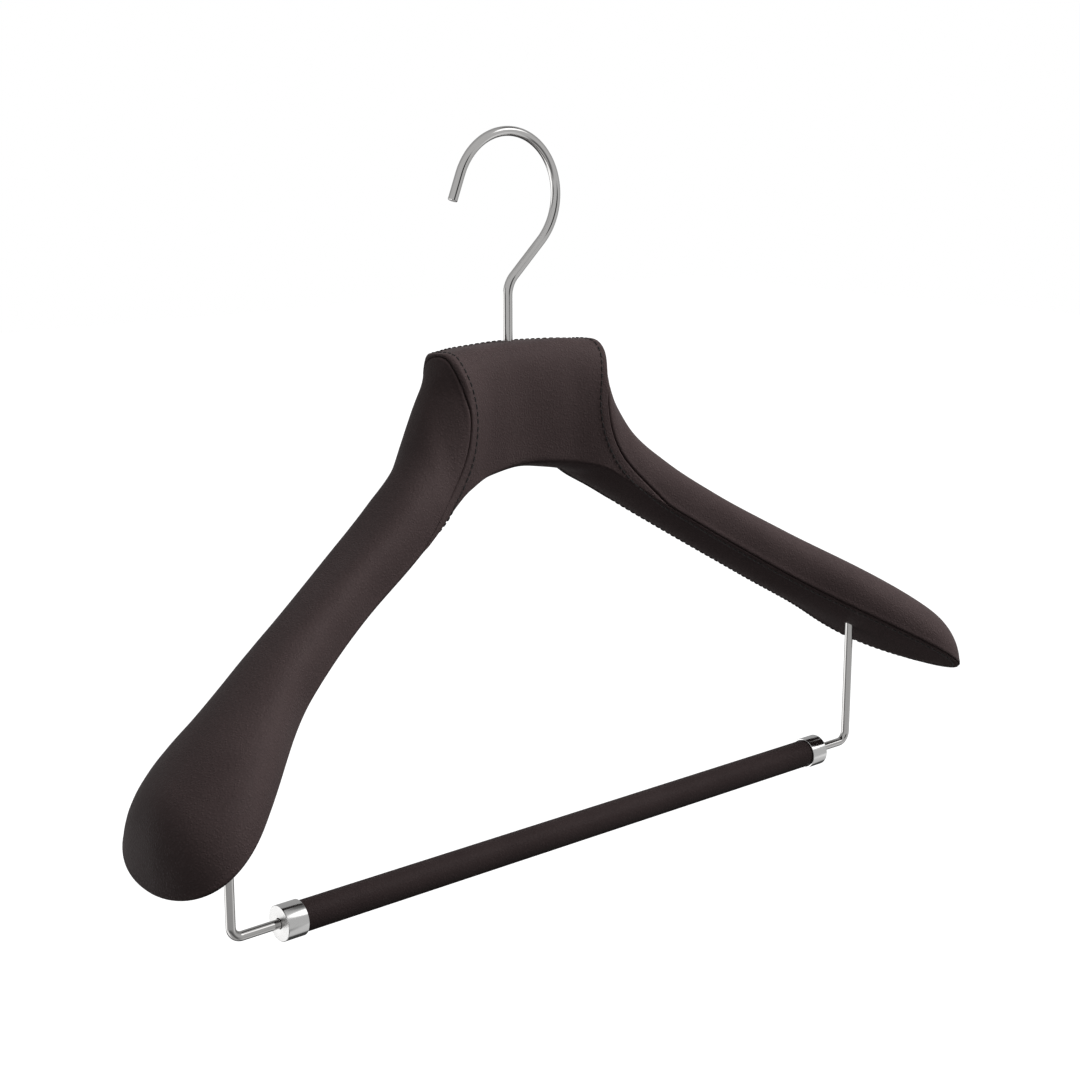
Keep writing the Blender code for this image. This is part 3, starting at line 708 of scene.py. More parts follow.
@dataclass
class BodyForm:
    """The shape of the covered arms and neck, as a surface of two values.

    x runs along the hanger. turn runs round its section: 0 at the front lower edge, over the top to 1 at the
    back lower edge, and under the arm to 2.
    """

    neck_top: float
    seam: SeamLine = field(default_factory=SeamLine)
    half_span: float = 0.225
    neck_half: float = 0.040
    end_wall_run: float = 0.020
    underside_bulge: float = 0.0033
    bulge_fade: float = 0.015  # how far from the end the underside starts to flatten
    tip_run: float = 0.0385  # how far from the end the tip starts to round off
    tip_front: tuple[float, float] = (0.0367, 1.9)  # length and power of the rounding of its front, seen from above
    tip_back: tuple[float, float] = (0.0374, 2.17)
    tip_top: tuple[float, float] = (0.0135, 2.7)  # the same of its top, seen from the front
    neck_lean: float = -0.075
    neck_top_tilt: float = 0.06
    neck_back_tilt: float = -0.045  # the same behind the stem
    back_tilt_fade: tuple[float, float] = (0.034, 0.047)  # distances over which the two become one
    neck_reach: float = 0.0685
    neck_flare: float = 0.06
    flare_height: float = 0.015
    flare_top: float = -0.002
    edge_softness: float = 0.07
    edge_fade: tuple[float, float] = (0.052, 0.082)
    widening_limit: float = 0.985
    lines: dict[str, FairLine] = field(default_factory=dict)

    def __post_init__(self) -> None:
        """Fairs each of the templates' values along the hanger."""
        edges, neck, arm = self.lower_edges(), self.neck_crowns(), self.arm_crowns()
        columns = {
            f"{end}_{axis}": [(edge.x, getattr(edge, end)[number]) for edge in edges]
            for end in ("front", "back")
            for number, axis in enumerate("yz")
        }
        for part, crowns in (("neck", neck), ("arm", arm)):
            for measure in ("crest", "fullness", "back"):
                columns[f"{part}_{measure}"] = [(crown.x, getattr(crown, measure)) for crown in crowns]
        self.lines = {name: FairLine(*np.array(pairs).T) for name, pairs in columns.items()}

    def past_neck(self, share: float) -> float:
        """Distance from the middle of a place at this share of the way down the neck's end wall."""
        return self.neck_half + self.end_wall_run * share

    def along_arm(self, share: float) -> float:
        """Distance from the middle of a place that lies this share of the way from arm root to tip."""
        root = self.past_neck(1.0)
        return root + (self.half_span - root) * share

    def lower_edges(self) -> tuple[LowerEdges, ...]:
        """The templates' lower edges.

        Returns:
            The edges, from the middle of the neck to the tip.
        """
        return (
            LowerEdges(0.0, (-0.0146, -0.0514), (0.0178, -0.0526)),
            LowerEdges(self.neck_half * 0.55, (-0.0168, -0.0533), (0.0178, -0.0563)),
            LowerEdges(self.neck_half, (-0.0232, -0.0575), (0.0179, -0.0608)),
            LowerEdges(self.past_neck(0.45), (-0.0248, -0.0634), (0.0187, -0.0662)),
            LowerEdges(self.past_neck(1.0), (-0.0284, -0.0705), (0.0144, -0.0732)),
            LowerEdges(self.along_arm(0.10), (-0.0323, -0.0814), (0.0090, -0.0845)),
            LowerEdges(self.along_arm(0.27), (-0.0376, -0.0988), (0.0004, -0.1028)),
            LowerEdges(self.along_arm(0.50), (-0.0519, -0.1229), (-0.0095, -0.1267)),
            LowerEdges(self.along_arm(0.75), (-0.0857, -0.1494), (-0.0141, -0.1512)),
            LowerEdges(self.along_arm(0.95), (-0.1134, -0.1708), (-0.0135, -0.1734)),
        )

    def neck_crowns(self) -> tuple[Crown, ...]:
        """The neck's crowns.

        Returns:
            The crowns, from the middle to its end.
        """
        return (
            Crown(0.0, 0.0021, 4.0, 10.0),
            Crown(self.neck_half * 0.55, 0.0021, 3.0, 9.0),
            Crown(self.neck_half, 0.0006, 2.8, 6.0),
        )

    def arm_crowns(self) -> tuple[Crown, ...]:
        """The arm's crowns.

        Returns:
            The crowns, from the top of the neck's end wall to the tip.
        """
        return (
            Crown(self.past_neck(-0.10), 0.0140, 2.0, 2.25),
            Crown(self.past_neck(0.10), -0.0026, 2.1, 2.35),
            Crown(self.past_neck(0.30), -0.0108, 1.8, 2.2),
            Crown(self.past_neck(0.60), -0.0234, 1.6, 1.9),
            Crown(self.past_neck(1.0), -0.0406, 2.0, 2.0),
            Crown(self.along_arm(0.10), -0.0576, 2.8, 2.8),
            Crown(self.along_arm(0.27), -0.0775, 3.6, 3.6),
            Crown(self.along_arm(0.50), -0.0992, 2.8, 2.7),
            Crown(self.along_arm(0.75), -0.1228, 2.1, 1.9),
            Crown(self.along_arm(0.95), -0.1449, 2.0, 1.8),
        )

    def rounding(self, side: Array, shape: tuple[float, float]) -> Array:
        """1 along the arm, falling to 0 at the tip along a quarter superellipse.

        Args:
            side: Distances from the middle.
            shape: Its length and power.

        Returns:
            The share of the full size.
        """
        length, power = shape
        past = (side - (self.half_span - length)) / length
        return (1 - np.clip(past, 0, 1) ** power) ** (1 / power)

    def reach(self, side: Array, across: Array, up: Array, read: dict[str, Array], neck: Array, arm: Array) -> Array:
        """How far a section reaches in each direction, as a share of its half depth and the neck's height.

        The neck and the arm each have a superellipse of their own, and the lesser counts. In front the arm's is
        widened so that the two meet at the height of the seam, in a soft edge that fades out along the arm.

        Args:
            side: Distances from the middle.
            across: Cosines of the section's angle.
            up: Sines of it.
            read: The faired lines' values.
            neck: The neck's height over its lower edges.
            arm: The arm's height over them.

        Returns:
            The reach.
        """
        neck_full = np.where(across > 0, read["neck_fullness"], read["neck_back"])
        arm_full = np.where(across > 0, read["arm_fullness"], read["arm_back"])
        as_neck = (np.abs(across) ** neck_full + up**neck_full) ** (-1 / neck_full)
        met = np.clip(self.seam.height(side) * neck / arm, 0, self.widening_limit)
        width = np.where(across > 0, (1 - met**arm_full) ** (-1 / arm_full), 1.0)
        as_arm = ((np.abs(across) / width) ** arm_full + (up * neck / arm) ** arm_full) ** (-1 / arm_full)
        low, high = self.edge_fade
        soft = self.edge_softness * np.clip((high - side) / (high - low), 0, 1) + WELD
        near = np.maximum(soft - np.abs(as_neck - as_arm), 0) / soft
        return np.minimum(as_neck, as_arm) - near**2 * soft / 4

    def point(self, x: Array, turn: Array) -> Array:
        """Points of the leather's face.

        Over the top they lie at the reach, cosine across and sine upwards. Underneath they lie on a shallow squared
        sine. The neck leans and its top tilts by a bell-shaped share of the distance, and its top flares outwards.

        Args:
            x: Distances along the hanger.
            turn: Turns round the section.

        Returns:
            The points, in the last axis.
        """
        side, turn = np.broadcast_arrays(np.abs(x), turn)
        on_neck = np.minimum(side, self.neck_half)
        read = {name: line.at(on_neck if name.startswith("neck") else side) for name, line in self.lines.items()}
        over = turn <= 1
        angle = pi * np.where(over, turn, turn - 1)
        across, up = np.cos(angle), np.abs(np.sin(angle))
        in_front = np.where(over, across, -across) > 0
        plan = np.where(in_front, self.rounding(side, self.tip_front), self.rounding(side, self.tip_back))
        profile = self.rounding(side, self.tip_top)
        middle = (read["front_y"] + read["back_y"]) / 2
        half = (read["back_y"] - read["front_y"]) / 2 * plan
        base = (read["front_z"] + read["back_z"]) / 2
        twist = (read["back_z"] - read["front_z"]) / 2 * plan
        neck_rise, arm_rise = read["neck_crest"] - base, read["arm_crest"] - base

        reach = self.reach(side, across, up, read, neck_rise, arm_rise)
        bulge = self.underside_bulge * eased((self.half_span - side) / self.bulge_fade)
        rise = np.where(over, reach * up * neck_rise, -bulge * up**2) * profile
        across = np.where(over, reach * across, -across)
        y = middle - half * across
        z = base - twist * across + rise
        neck = np.exp(-((side / self.neck_reach) ** 4)) * over
        behind = (y > middle) * (1 - eased((side - self.back_tilt_fade[0]) / np.ptp(self.back_tilt_fade)))
        tilt = self.neck_top_tilt + (self.neck_back_tilt - self.neck_top_tilt) * behind
        z = z + tilt * neck * np.minimum(reach * up, 1) * (y - middle)
        y = y + self.neck_lean * neck * (z - base)
        flare = self.neck_flare * eased((z - self.flare_top) / self.flare_height + 1)
        return np.stack([x * (1 + flare), y, z + self.neck_top], axis=-1)


@dataclass(frozen=True)
class Loop:
    """The seam as a closed line of points on the right half, with its length run up to each."""

    points: Array
    run: Array
    inward: Array  # the way into the groove at each point
    tangent: Array

    AT_ONCE = 6000  # how many points are measured at a time
    LEAST = 1e-18  # least square of a segment's length
    LEAN = 0.01  # how much a point's own place along the seam counts in its key

    def nearest(self, points: Array) -> tuple[Array, Array, Array, Array]:
        """Finds the nearest place on the seam for each point.

        The distance to a segment is taken at the clipped foot of the perpendicular.

        Args:
            points: The points to measure from.

        Returns:
            The distance, the run, the way into the groove, and a key that sorts points along the seam.
        """
        start, step = self.points[:-1], np.diff(self.points, axis=0)
        square = np.maximum((step**2).sum(axis=1), self.LEAST)
        parts = []
        for some in np.array_split(points, max(1, len(points) // self.AT_ONCE)):
            dot = some @ step.T - (start * step).sum(axis=1)
            share = np.clip(dot / square, 0, 1)
            far = (some**2).sum(axis=1)[:, None] - 2 * some @ start.T + (start**2).sum(axis=1)
            far = far - 2 * share * dot + share**2 * square
            best = np.argmin(far, axis=1)
            rows = np.arange(len(some))
            parts.append((best, share[rows, best]))
        best = np.concatenate([part[0] for part in parts])
        share = np.concatenate([part[1] for part in parts])[:, None]
        foot = start[best] + share * step[best]
        away = points - foot
        run = self.run[best] + share[:, 0] * (self.run[best + 1] - self.run[best])
        inward = unit(self.inward[best] * (1 - share) + self.inward[best + 1] * share)
        tangent = self.tangent[best] * (1 - share) + self.tangent[best + 1] * share
        key = run + self.LEAN * (away * tangent).sum(axis=1)
        return np.linalg.norm(away, axis=1), run, inward, key


@dataclass(frozen=True)
class Hole:
    """An upright round hole in the leather."""

    place: Vector
    radius: float
    half: float = 4 * MM  # half its length
    sides: int = 48


@dataclass
class LeatherCover:
    """The leather on the arms: both panels, the groove between them and its row of stitches."""

    form: BodyForm
    thickness: float = 1.2 * MM
    groove_depth: float = 1.12 * MM
    turned_edge: float = 1.6 * MM  # how far from the seam the leather's back turns in
    swell: tuple[float, float, float] = (0.22 * MM, 1.3 * MM, 1.1 * MM)  # the outer panel's: height, place and width
    outer_roll: float = 0.95 * MM
    lip_roll: float = 0.95 * MM
    lip_height: float = 0.30 * MM
    lip_fade: tuple[float, float] = (0.2 * MM, 2.2 * MM)  # how far short of the stitches it sinks, and the length
    stitch_furrow: float = 0.22 * MM
    furrow_width: float = 0.45 * MM
    stitch_inset_neck: float = 4.2 * MM
    stitch_inset: float = 3.0 * MM
    stitch_inset_back: float = 2.2 * MM
    stitch_inset_head: float = 4.4 * MM
    inset_ease: float = 12 * MM  # length over which one inset passes into the next
    arch_edge: float = 1.7 * MM  # softness of the neck's front lower edge
    arch_fade: tuple[float, float] = (0.5 * MM, 5 * MM)  # distance from the seam where it starts, and its rise
    stitch_pitch: float = 3.25 * MM
    stitch_length: float = 2.8 * MM
    thread: float = 0.66 * MM
    thread_taper: float = 0.3
    thread_lift: float = 0.38  # in diameters, as is the next
    thread_dip: float = 1.1
    stitch_sides: int = 6
    stitch_rings: int = 9
    ring_step: float = 0.2 * MM
    ring_rounding: float = 1.3 * MM
    near: tuple[float, ...] = (
        0, 0.12, 0.25, 0.4, 0.58, 0.8, 1.05, 1.35, 1.7, 2.1, 2.5, 2.9, 3.3, 3.7, 4.1, 4.5, 4.95, 5.5, 6.3,
    )  # millimetres from a seam to the rows beside it
    rows_between: tuple[int, int, int] = (28, 8, 28)
    columns_between: tuple[int, int, int] = (22, 104, 28)
    column_crowding: float = 1.3  # over 1 sets the arm's columns closer together near the neck
    tip_swing: float = 0.041  # metres along the crest for each radian round the tip
    short: float = 2.6  # a stretch shorter than this many times the near rows has them drawn in
    seam_steps: int = 401
    near_steps: int = 90
    section_steps: int = 500
    least: float = 0.01 * MM

    def spaced(self, length: Array, between: int) -> Array:
        """Distances along stretches: the near rows at each end, drawn in on a short stretch, and even ones between.

        Args:
            length: The length of each stretch.
            between: How many even ones there are.

        Returns:
            One row of distances for each stretch.
        """
        near = np.array(self.near) * MM
        scale = np.minimum(1, length / (self.short * near[-1]))[:, None]
        ends = near[None, :] * scale
        share = np.linspace(0, 1, between + 2)[1:-1]
        room = length[:, None] - 2 * ends[:, -1:]
        return np.hstack([ends, ends[:, -1:] + room * share, length[:, None] - ends[:, ::-1]])

    def lay_columns(self) -> None:
        """Sets the columns: even to near the seam, near ones on both sides of it, then along the arm and the tip.

        Those along the arm are crowded towards the neck, and those of the tip go by the angle round it, with near
        ones again at its end. The near ones are set by lengths measured on the leather, for a row of turns.
        """
        near = np.array(self.near) * MM
        self.seam_turns = np.linspace(0, 2, self.seam_steps)
        reach = np.linspace(0, near[-1], self.near_steps)
        self.offsets = []
        for way in (-1, 1):
            x = self.form.seam.x(self.seam_turns)[:, None] + way * reach
            run = lengths(self.form.point(x, self.seam_turns[:, None]))
            self.offsets.append(np.array([np.interp(near, measured, reach) for measured in run]).T)
        middle, arm, tip = self.columns_between
        self.to_seam = np.linspace(0, 1, middle)
        self.past_seam = np.linspace(0, 1, arm)[1:] ** self.column_crowding
        last = near[::-1][:-1] / self.tip_swing
        even = np.linspace(0, pi / 2 - last[0], tip)[1:]
        self.tip_angles = np.concatenate([even, pi / 2 - last[1:], [pi / 2]])
        self.seam_column = middle + len(near) - 2
        self.columns = self.seam_column + len(near) + len(self.past_seam) + len(self.tip_angles)

    def offset(self, way: int, number: int, turn: Array) -> Array:
        """How far along X from the seam a near column lies at these turns: way is 0 on the neck, 1 past the seam."""
        return np.interp(turn, self.seam_turns, self.offsets[way][number])

    def column_x(self, turn: Array) -> Array:
        """Distance from the middle of every column at every turn.

        Args:
            turn: The turns, one row for each column.

        Returns:
            The distances, in the same shape.
        """
        seam = self.form.seam.x(turn)
        start = self.form.half_span - self.form.tip_run
        first, count = len(self.to_seam), len(self.near)
        inner = np.array([self.offset(0, count - 1, row) for row in turn[:first]])
        blocks = [(seam[:first] - inner) * self.to_seam[:, None]]
        for at in range(first, self.seam_column + 1):
            blocks.append((seam[at] - self.offset(0, self.seam_column - at, turn[at]))[None])
        for at in range(self.seam_column + 1, self.seam_column + count):
            blocks.append((seam[at] + self.offset(1, at - self.seam_column, turn[at]))[None])
        at = self.seam_column + count
        arm = slice(at, at + len(self.past_seam))
        root = seam[arm] + np.array([self.offset(1, count - 1, row) for row in turn[arm]])
        blocks.append(root + (start - root) * self.past_seam[:, None])
        tip = start + self.form.tip_run * np.sin(self.tip_angles)
        blocks.append(np.broadcast_to(tip[:, None], (len(tip), turn.shape[1])))
        return np.vstack(blocks)

    def lay_rows(self) -> Array:
        """Sets the rows of every column by lengths measured along its section.

        Returns:
            The turns, one row for each column.
        """
        flat = np.full((self.columns, 1), 0.5 * self.form.seam.head_turns[0])
        x = np.minimum(self.column_x(flat)[:, 0], self.form.half_span - 0.002 * MM)
        blocks = []
        behind = self.form.seam.behind(x)
        bounds = (np.zeros_like(x), behind, np.ones_like(x), np.full_like(x, 2.0))
        for start, end, between in zip(bounds, bounds[1:], self.rows_between):
            fine = start[:, None] + (end - start)[:, None] * np.linspace(0, 1, self.section_steps)
            run = lengths(self.form.point(x[:, None], fine))
            wanted = self.spaced(run[:, -1], between)
            turns = np.array([np.interp(*line) for line in zip(wanted, run, fine)])
            turns[:, 0], turns[:, -1] = start, end
            blocks.append(turns)
        self.head_row = blocks[0].shape[1] - 1
        self.back_row = self.head_row + blocks[1].shape[1] - 1
        return np.hstack([blocks[0], blocks[1][:, 1:], blocks[2][:, 1:-1]])

    def lay_out(self) -> None:
        """Lays the grid for the right half, and finds each panel's cells and the seam's points on it."""
        self.lay_columns()
        turn = self.lay_rows()
        self.rows = turn.shape[1]
        x = self.column_x(turn)
        self.base = self.form.point(x, turn)
        column = np.arange(self.columns - 1)[:, None]
        row = np.arange(self.rows)[None, :]
        after = (row + 1) % self.rows
        outer = (row < self.back_row) & ((column >= self.seam_column) | (row >= self.head_row))
        at = column * self.rows
        corners = np.stack([at + row, at + self.rows + row, at + self.rows + after, at + after], axis=-1)
        self.cells = {Panel.OUTER: corners[outer], Panel.INNER: corners[~outer]}
        head = [(c, self.head_row) for c in range(self.seam_column)]
        side = [(self.seam_column, r) for r in range(self.head_row, 0, -1)]
        front = [(c, 0) for c in range(self.seam_column, self.columns)]
        back = [(c, self.back_row) for c in range(self.columns - 2, -1, -1)]
        self.loop_index = np.array([c * self.rows + r for c, r in head + side + front + back])
        self.side_runs = (len(head), len(head) + len(side))
        self.tip_run = len(head) + len(side) + len(front) - 1

    def inner_rows(self) -> Array:
        """The inner panel's rows on the neck: from the seam behind, through the arch and up the front."""
        return np.concatenate([np.arange(self.back_row, self.rows), np.arange(self.head_row + 1)])

    def soften_arch_edge(self) -> None:
        """Rounds the edge where the neck's front meets the arch, which has no seam.

        Each point there becomes the mean of its section, weighted by a bell of the length between them. The bell
        narrows to nothing beside the seam.
        """
        order = self.inner_rows()
        line = self.base[: self.seam_column, order]
        steps = np.linalg.norm(np.diff(line, axis=1), axis=-1)
        run = lengths(line)
        share = (np.hstack([steps, steps[:, -1:]]) + np.hstack([steps[:, :1], steps])) / 2
        distance = self.loop().nearest(line.reshape(-1, 3))[0].reshape(run.shape)
        start, rise = self.arch_fade
        width = self.arch_edge * eased((distance - start) / rise) + self.least
        bell = np.exp(-0.5 * ((run[:, :, None] - run[:, None, :]) / width[:, :, None]) ** 2) * share[:, None, :]
        bell /= bell.sum(axis=2, keepdims=True)
        self.base[: self.seam_column, order] = np.einsum("cij,cjk->cik", bell, line)
        self.base[0, :, 0] = 0.0

    def normals(self, panel: Panel) -> Array:
        """Normals of one panel's points, level across the middle and alike at the tip.

        Args:
            panel: The panel.

        Returns:
            One for each point of the grid.
        """
        found = point_normals(self.base.reshape(-1, 3), self.cells[panel]).reshape(self.base.shape)
        found[0, :, 0] = 0.0
        found[-1] = found[-1].mean(axis=0)
        return unit(found) * self.outward

    def loop(self) -> Loop:
        """The seam's line, with the way into the groove: the mean of both panels' normals, turned in.

        Returns:
            The line.
        """
        points = self.base.reshape(-1, 3)[self.loop_index]
        both = sum(self.normals(panel).reshape(-1, 3)[self.loop_index] for panel in Panel)
        along = unit(np.diff(points, axis=0))
        tangent = unit(np.vstack([along[:1], along]) + np.vstack([along, along[-1:]]))
        return Loop(points, lengths(points), -unit(both), tangent)

    def stitch_inset_at(self, run: Array) -> Array:
        """How far in from the seam the stitches lie: most on the neck, least behind the arms, eased between.

        Args:
            run: Places along the seam.

        Returns:
            The distances.
        """
        start, end = (self.seam_loop.run[index] for index in self.side_runs)
        ease = self.inset_ease
        wide = eased((run + 0.5 * ease - start) / ease) * eased((end - 0.1 * (end - start) - run) / ease)
        head = 1 - eased((run - start + ease) / ease)
        tip = self.seam_loop.run[self.tip_run]
        back = eased((run - tip - ease) / ease)
        inset = self.stitch_inset + (self.stitch_inset_neck - self.stitch_inset) * wide
        inset = inset + (self.stitch_inset_head - inset) * head
        return inset + (self.stitch_inset_back - inset) * back

    def lay_panel(self, panel: Panel) -> tuple[Array, Array]:
        """Lays one panel's face and back on the right half.

        Near the seam the face rolls into the groove on a quarter circle. The inner panel has a raised lip that
        ends in the furrow of the stitches, and the outer one swells slightly beside its roll, both as bells.

        Args:
            panel: The panel.

        Returns:
            The face's and the back's points.
        """
        base = self.base.reshape(-1, 3)
        normal = self.normals(panel).reshape(-1, 3)
        distance, run, inward, _ = self.seam_loop.nearest(base)
        distance[self.loop_index] = 0.0
        roll = self.outer_roll if panel is Panel.OUTER else self.lip_roll
        past = np.clip(1 - distance / roll, 0, 1)
        sunk = (1 - np.sqrt(1 - past**2))[:, None]
        if panel is Panel.INNER:
            inset = self.stitch_inset_at(run)
            before, fade = self.lip_fade
            lip = self.lip_height * (1 - eased((distance - inset + before) / fade))
            furrow = self.stitch_furrow * np.exp(-(((distance - inset) / self.furrow_width) ** 2))
            raised = (lip - furrow)[:, None]
        else:
            height, place, width = self.swell
            raised = (height * np.exp(-(((distance - place) / width) ** 2)))[:, None]
        face = base + normal * raised * (1 - sunk) + inward * sunk * self.groove_depth
        turned_in = eased(1 - distance / self.turned_edge)[:, None]
        back = base + unit(inward * turned_in - normal * (1 - turned_in)) * self.thickness
        return face, back

    def build_panel(self, panel: Panel) -> bpy.types.Object:
        """Builds one panel: the right half and its mirror image, with face, back and rim.

        Args:
            panel: The panel.

        Returns:
            The piece.
        """
        face, back = self.lay_panel(panel)
        self.faces[panel] = face
        count = len(face)
        cells = self.cells[panel]
        first, second = self.loop_index[:-1], self.loop_index[1:]
        rim = np.stack([second, first, first + count, second + count], axis=1)
        rim = rim if panel is Panel.OUTER else rim[:, ::-1]
        half = np.vstack([cells, cells[:, ::-1] + count, rim])
        points = np.vstack([face, back])
        mirrored = points * np.array([-1, 1, 1])
        both = np.vstack([points, mirrored])
        mesh = new_mesh(panel.value, both, np.vstack([half, half[:, ::-1] + 2 * count]))
        return make_piece(mesh, PANEL_LEATHER, Body.HANGER)

    def stitch_line(self) -> tuple[Array, Array]:
        """The line that the stitches follow, all the way round both halves.

        It is where the distance from the seam equals the inset, found on the grid's own lines, put in order along
        the seam and then smoothed by a bell of its length.

        Returns:
            The points and their normals, evenly spaced.
        """
        order = self.inner_rows()
        base = self.base[:, order]
        face = self.faces[Panel.INNER].reshape(self.base.shape)[:, order]
        normal = self.normals(Panel.INNER)[:, order]
        distance, run, _, key = self.seam_loop.nearest(base.reshape(-1, 3))
        excess = (distance - self.stitch_inset_at(run)).reshape(base.shape[:2])
        key = key.reshape(base.shape[:2])
        front = self.rows - self.back_row
        inside = (np.arange(self.columns)[:, None] <= self.seam_column) | (np.arange(len(order))[None, :] <= front)
        found = []
        every, first, last = slice(None), slice(None, -1), slice(1, None)
        for here, there in (((first, every), (last, every)), ((every, first), (every, last))):
            crossing = (excess[here] * excess[there] < 0) & inside[here] & inside[there]
            before, after = excess[here][crossing], excess[there][crossing]
            share = (before / (before - after))[:, None]
            parts = [value[here][crossing] * (1 - share) + value[there][crossing] * share for value in (face, normal)]
            keys = key[here][crossing][:, None] * (1 - share) + key[there][crossing][:, None] * share
            found.append(np.hstack([keys, *parts]))
        line = np.vstack(found)
        line = line[np.argsort(line[:, 0])][:, 1:]
        mirror = np.array([-1, 1, 1, -1, 1, 1])
        ring = np.vstack([line, line[::-1] * mirror])
        return self.smoothed_ring(ring)

    def smoothed_ring(self, ring: Array) -> tuple[Array, Array]:
        """Smooths a closed line of points and normals by a bell of its length.

        Args:
            ring: Points and normals, side by side.

        Returns:
            The points and the normals, a ring step apart.
        """
        steps = np.linalg.norm(np.diff(np.vstack([ring, ring[:1]])[:, :3], axis=0), axis=1)
        ring = ring[steps > self.least]
        closed = np.vstack([ring, ring[:1]])
        run = lengths(closed[:, :3])
        count = round(run[-1] / self.ring_step)
        even = np.linspace(0, run[-1], count, endpoint=False)
        fine = np.stack([np.interp(even, run, closed[:, axis]) for axis in range(6)], axis=1)
        away = np.minimum(np.arange(count), count - np.arange(count)) * run[-1] / count
        bell = np.exp(-0.5 * (away / self.ring_rounding) ** 2)
        spectrum = np.fft.rfft(bell / bell.sum())[:, None]
        fine = np.fft.irfft(np.fft.rfft(fine, axis=0) * spectrum, n=count, axis=0)
        return fine[:, :3], unit(fine[:, 3:])

    def build_stitches(self) -> bpy.types.Object:
        """Sews the row: short rounded lengths of thread whose ends dip into the leather.

        Each is a tube. Its middle line follows the leather less a sixth power of the distance from its middle, and
        its radius shrinks by a fourth power.


        Returns:
            The piece.
        """
        points, normals = self.stitch_line()
        length = np.linalg.norm(np.diff(np.vstack([points, points[:1]]), axis=0), axis=1).sum()
        number = 2 * round(length / self.stitch_pitch / 2)
        count = len(points)
        middle = (np.arange(number) + 0.5) / number * count
        share = np.linspace(-1, 1, self.stitch_rings)
        sides = self.stitch_sides
        along = self.stitch_length / 2 * share
        index = middle[:, None] + along / length * count
        low = np.floor(index).astype(int)
        part = (index - low)[..., None]
        centre = points[low % count] * (1 - part) + points[(low + 1) % count] * part
        up = unit(normals[low % count])
        ahead = unit(points[(low + 3) % count] - points[(low - 3) % count])
        across = unit(np.cross(up, ahead))
        radius = self.thread / 2 * (1 - self.thread_taper * share**4)
        radius[[0, -1]] = 0
        lift = self.thread * (self.thread_lift - self.thread_dip * np.abs(share) ** 6)
        centre = centre + up * lift[None, :, None]
        angle = 2 * pi * np.arange(sides) / sides
        ring = np.cos(angle)[:, None] * across[:, :, None, :] + np.sin(angle)[:, None] * up[:, :, None, :]
        tube = centre[:, :, None, :] + ring * radius[None, :, None, None]
        cells = grid_cells(len(share), sides)
        every = (cells[None] + np.arange(number)[:, None, None] * len(share) * sides).reshape(-1, 4)
        uv = np.tile(tube_uv(np.linspace(0, 1, len(share)), sides, 1 / sides), (number, 1, 1))
        mesh = new_mesh("seam_stitches", tube.reshape(-1, 3), every, uv)
        return make_piece(mesh, SEAM_THREAD, Body.HANGER)

    def build(self, holes: list[Hole]) -> None:
        """Builds both panels and the stitches.

        Args:
            holes: The holes in the inner panel.
        """
        self.lay_out()
        self.outward = 1.0
        top = self.normals(Panel.OUTER)[self.columns // 2, self.head_row // 2]
        self.outward = 1.0 if top[2] > 0 else -1.0
        self.soften_arch_edge()
        self.seam_loop = self.loop()
        self.faces: dict[Panel, Array] = {}
        outer = self.build_panel(Panel.OUTER)
        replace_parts(outer, "outer_leather")
        inner = self.build_panel(Panel.INNER)
        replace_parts(inner, "inner_leather")
        punch(inner, holes)
        self.build_stitches()


def punch(piece: bpy.types.Object, holes: list[Hole]) -> None:
    """Punches holes through a piece, and keeps the result as its mesh.

    Args:
        piece: The piece.
        holes: The holes.
    """
    cutters = []
    for hole in holes:
        along = hole.half * np.array([-1, -1, 1, 1])
        points, cells = turned_surface(along, hole.radius * np.array([0, 1, 1, 0]), hole.sides)
        cutters.append(placed("hole", new_mesh("hole", points[:, [1, 2, 0]] + np.array(hole.place), cells)))
        piece.modifiers.new("hole", "BOOLEAN").object = cutters[-1]
    ready = piece.evaluated_get(bpy.context.evaluated_depsgraph_get())
    mesh = bpy.data.meshes.new_from_object(ready)
    piece.modifiers.clear()
    piece.data = mesh
    shade(mesh)
    for cutter in cutters:
        bpy.data.objects.remove(cutter)


def turned_surface(along: Array, radius: Array, sides: int) -> tuple[Array, Array]:
    """A surface turned about X: each pair of the profile carried round a circle.

    Args:
        along: The profile's places along X.
        radius: Its radii.
        sides: How many sides the circle has.

    Returns:
        The points and the cells.
    """
    angle = 2 * pi * np.arange(sides) / sides
    shape = (len(along), sides)
    x = np.broadcast_to(along[:, None], shape)
    points = np.stack([x, radius[:, None] * np.cos(angle), radius[:, None] * np.sin(angle)], axis=-1)
    return points.reshape(-1, 3), grid_cells(len(along), sides)


def arc(centre: tuple[float, float], radius: float, start: float, end: float, step: float = radians(1.5)) -> Array:
    """Points of an arc in a plane: the centre plus the radius times cosine and sine of even angles.

    Args:
        centre: The arc's centre.
        radius: Its radius.
        start: Its first angle.
        end: Its last.
        step: The widest step between points.

    Returns:
        The points, both ends included.
    """
    count = max(2, round(abs(end - start) / step) + 1)
    angle = np.linspace(start, end, count)
    return np.stack([centre[0] + radius * np.cos(angle), centre[1] + radius * np.sin(angle)], axis=1)


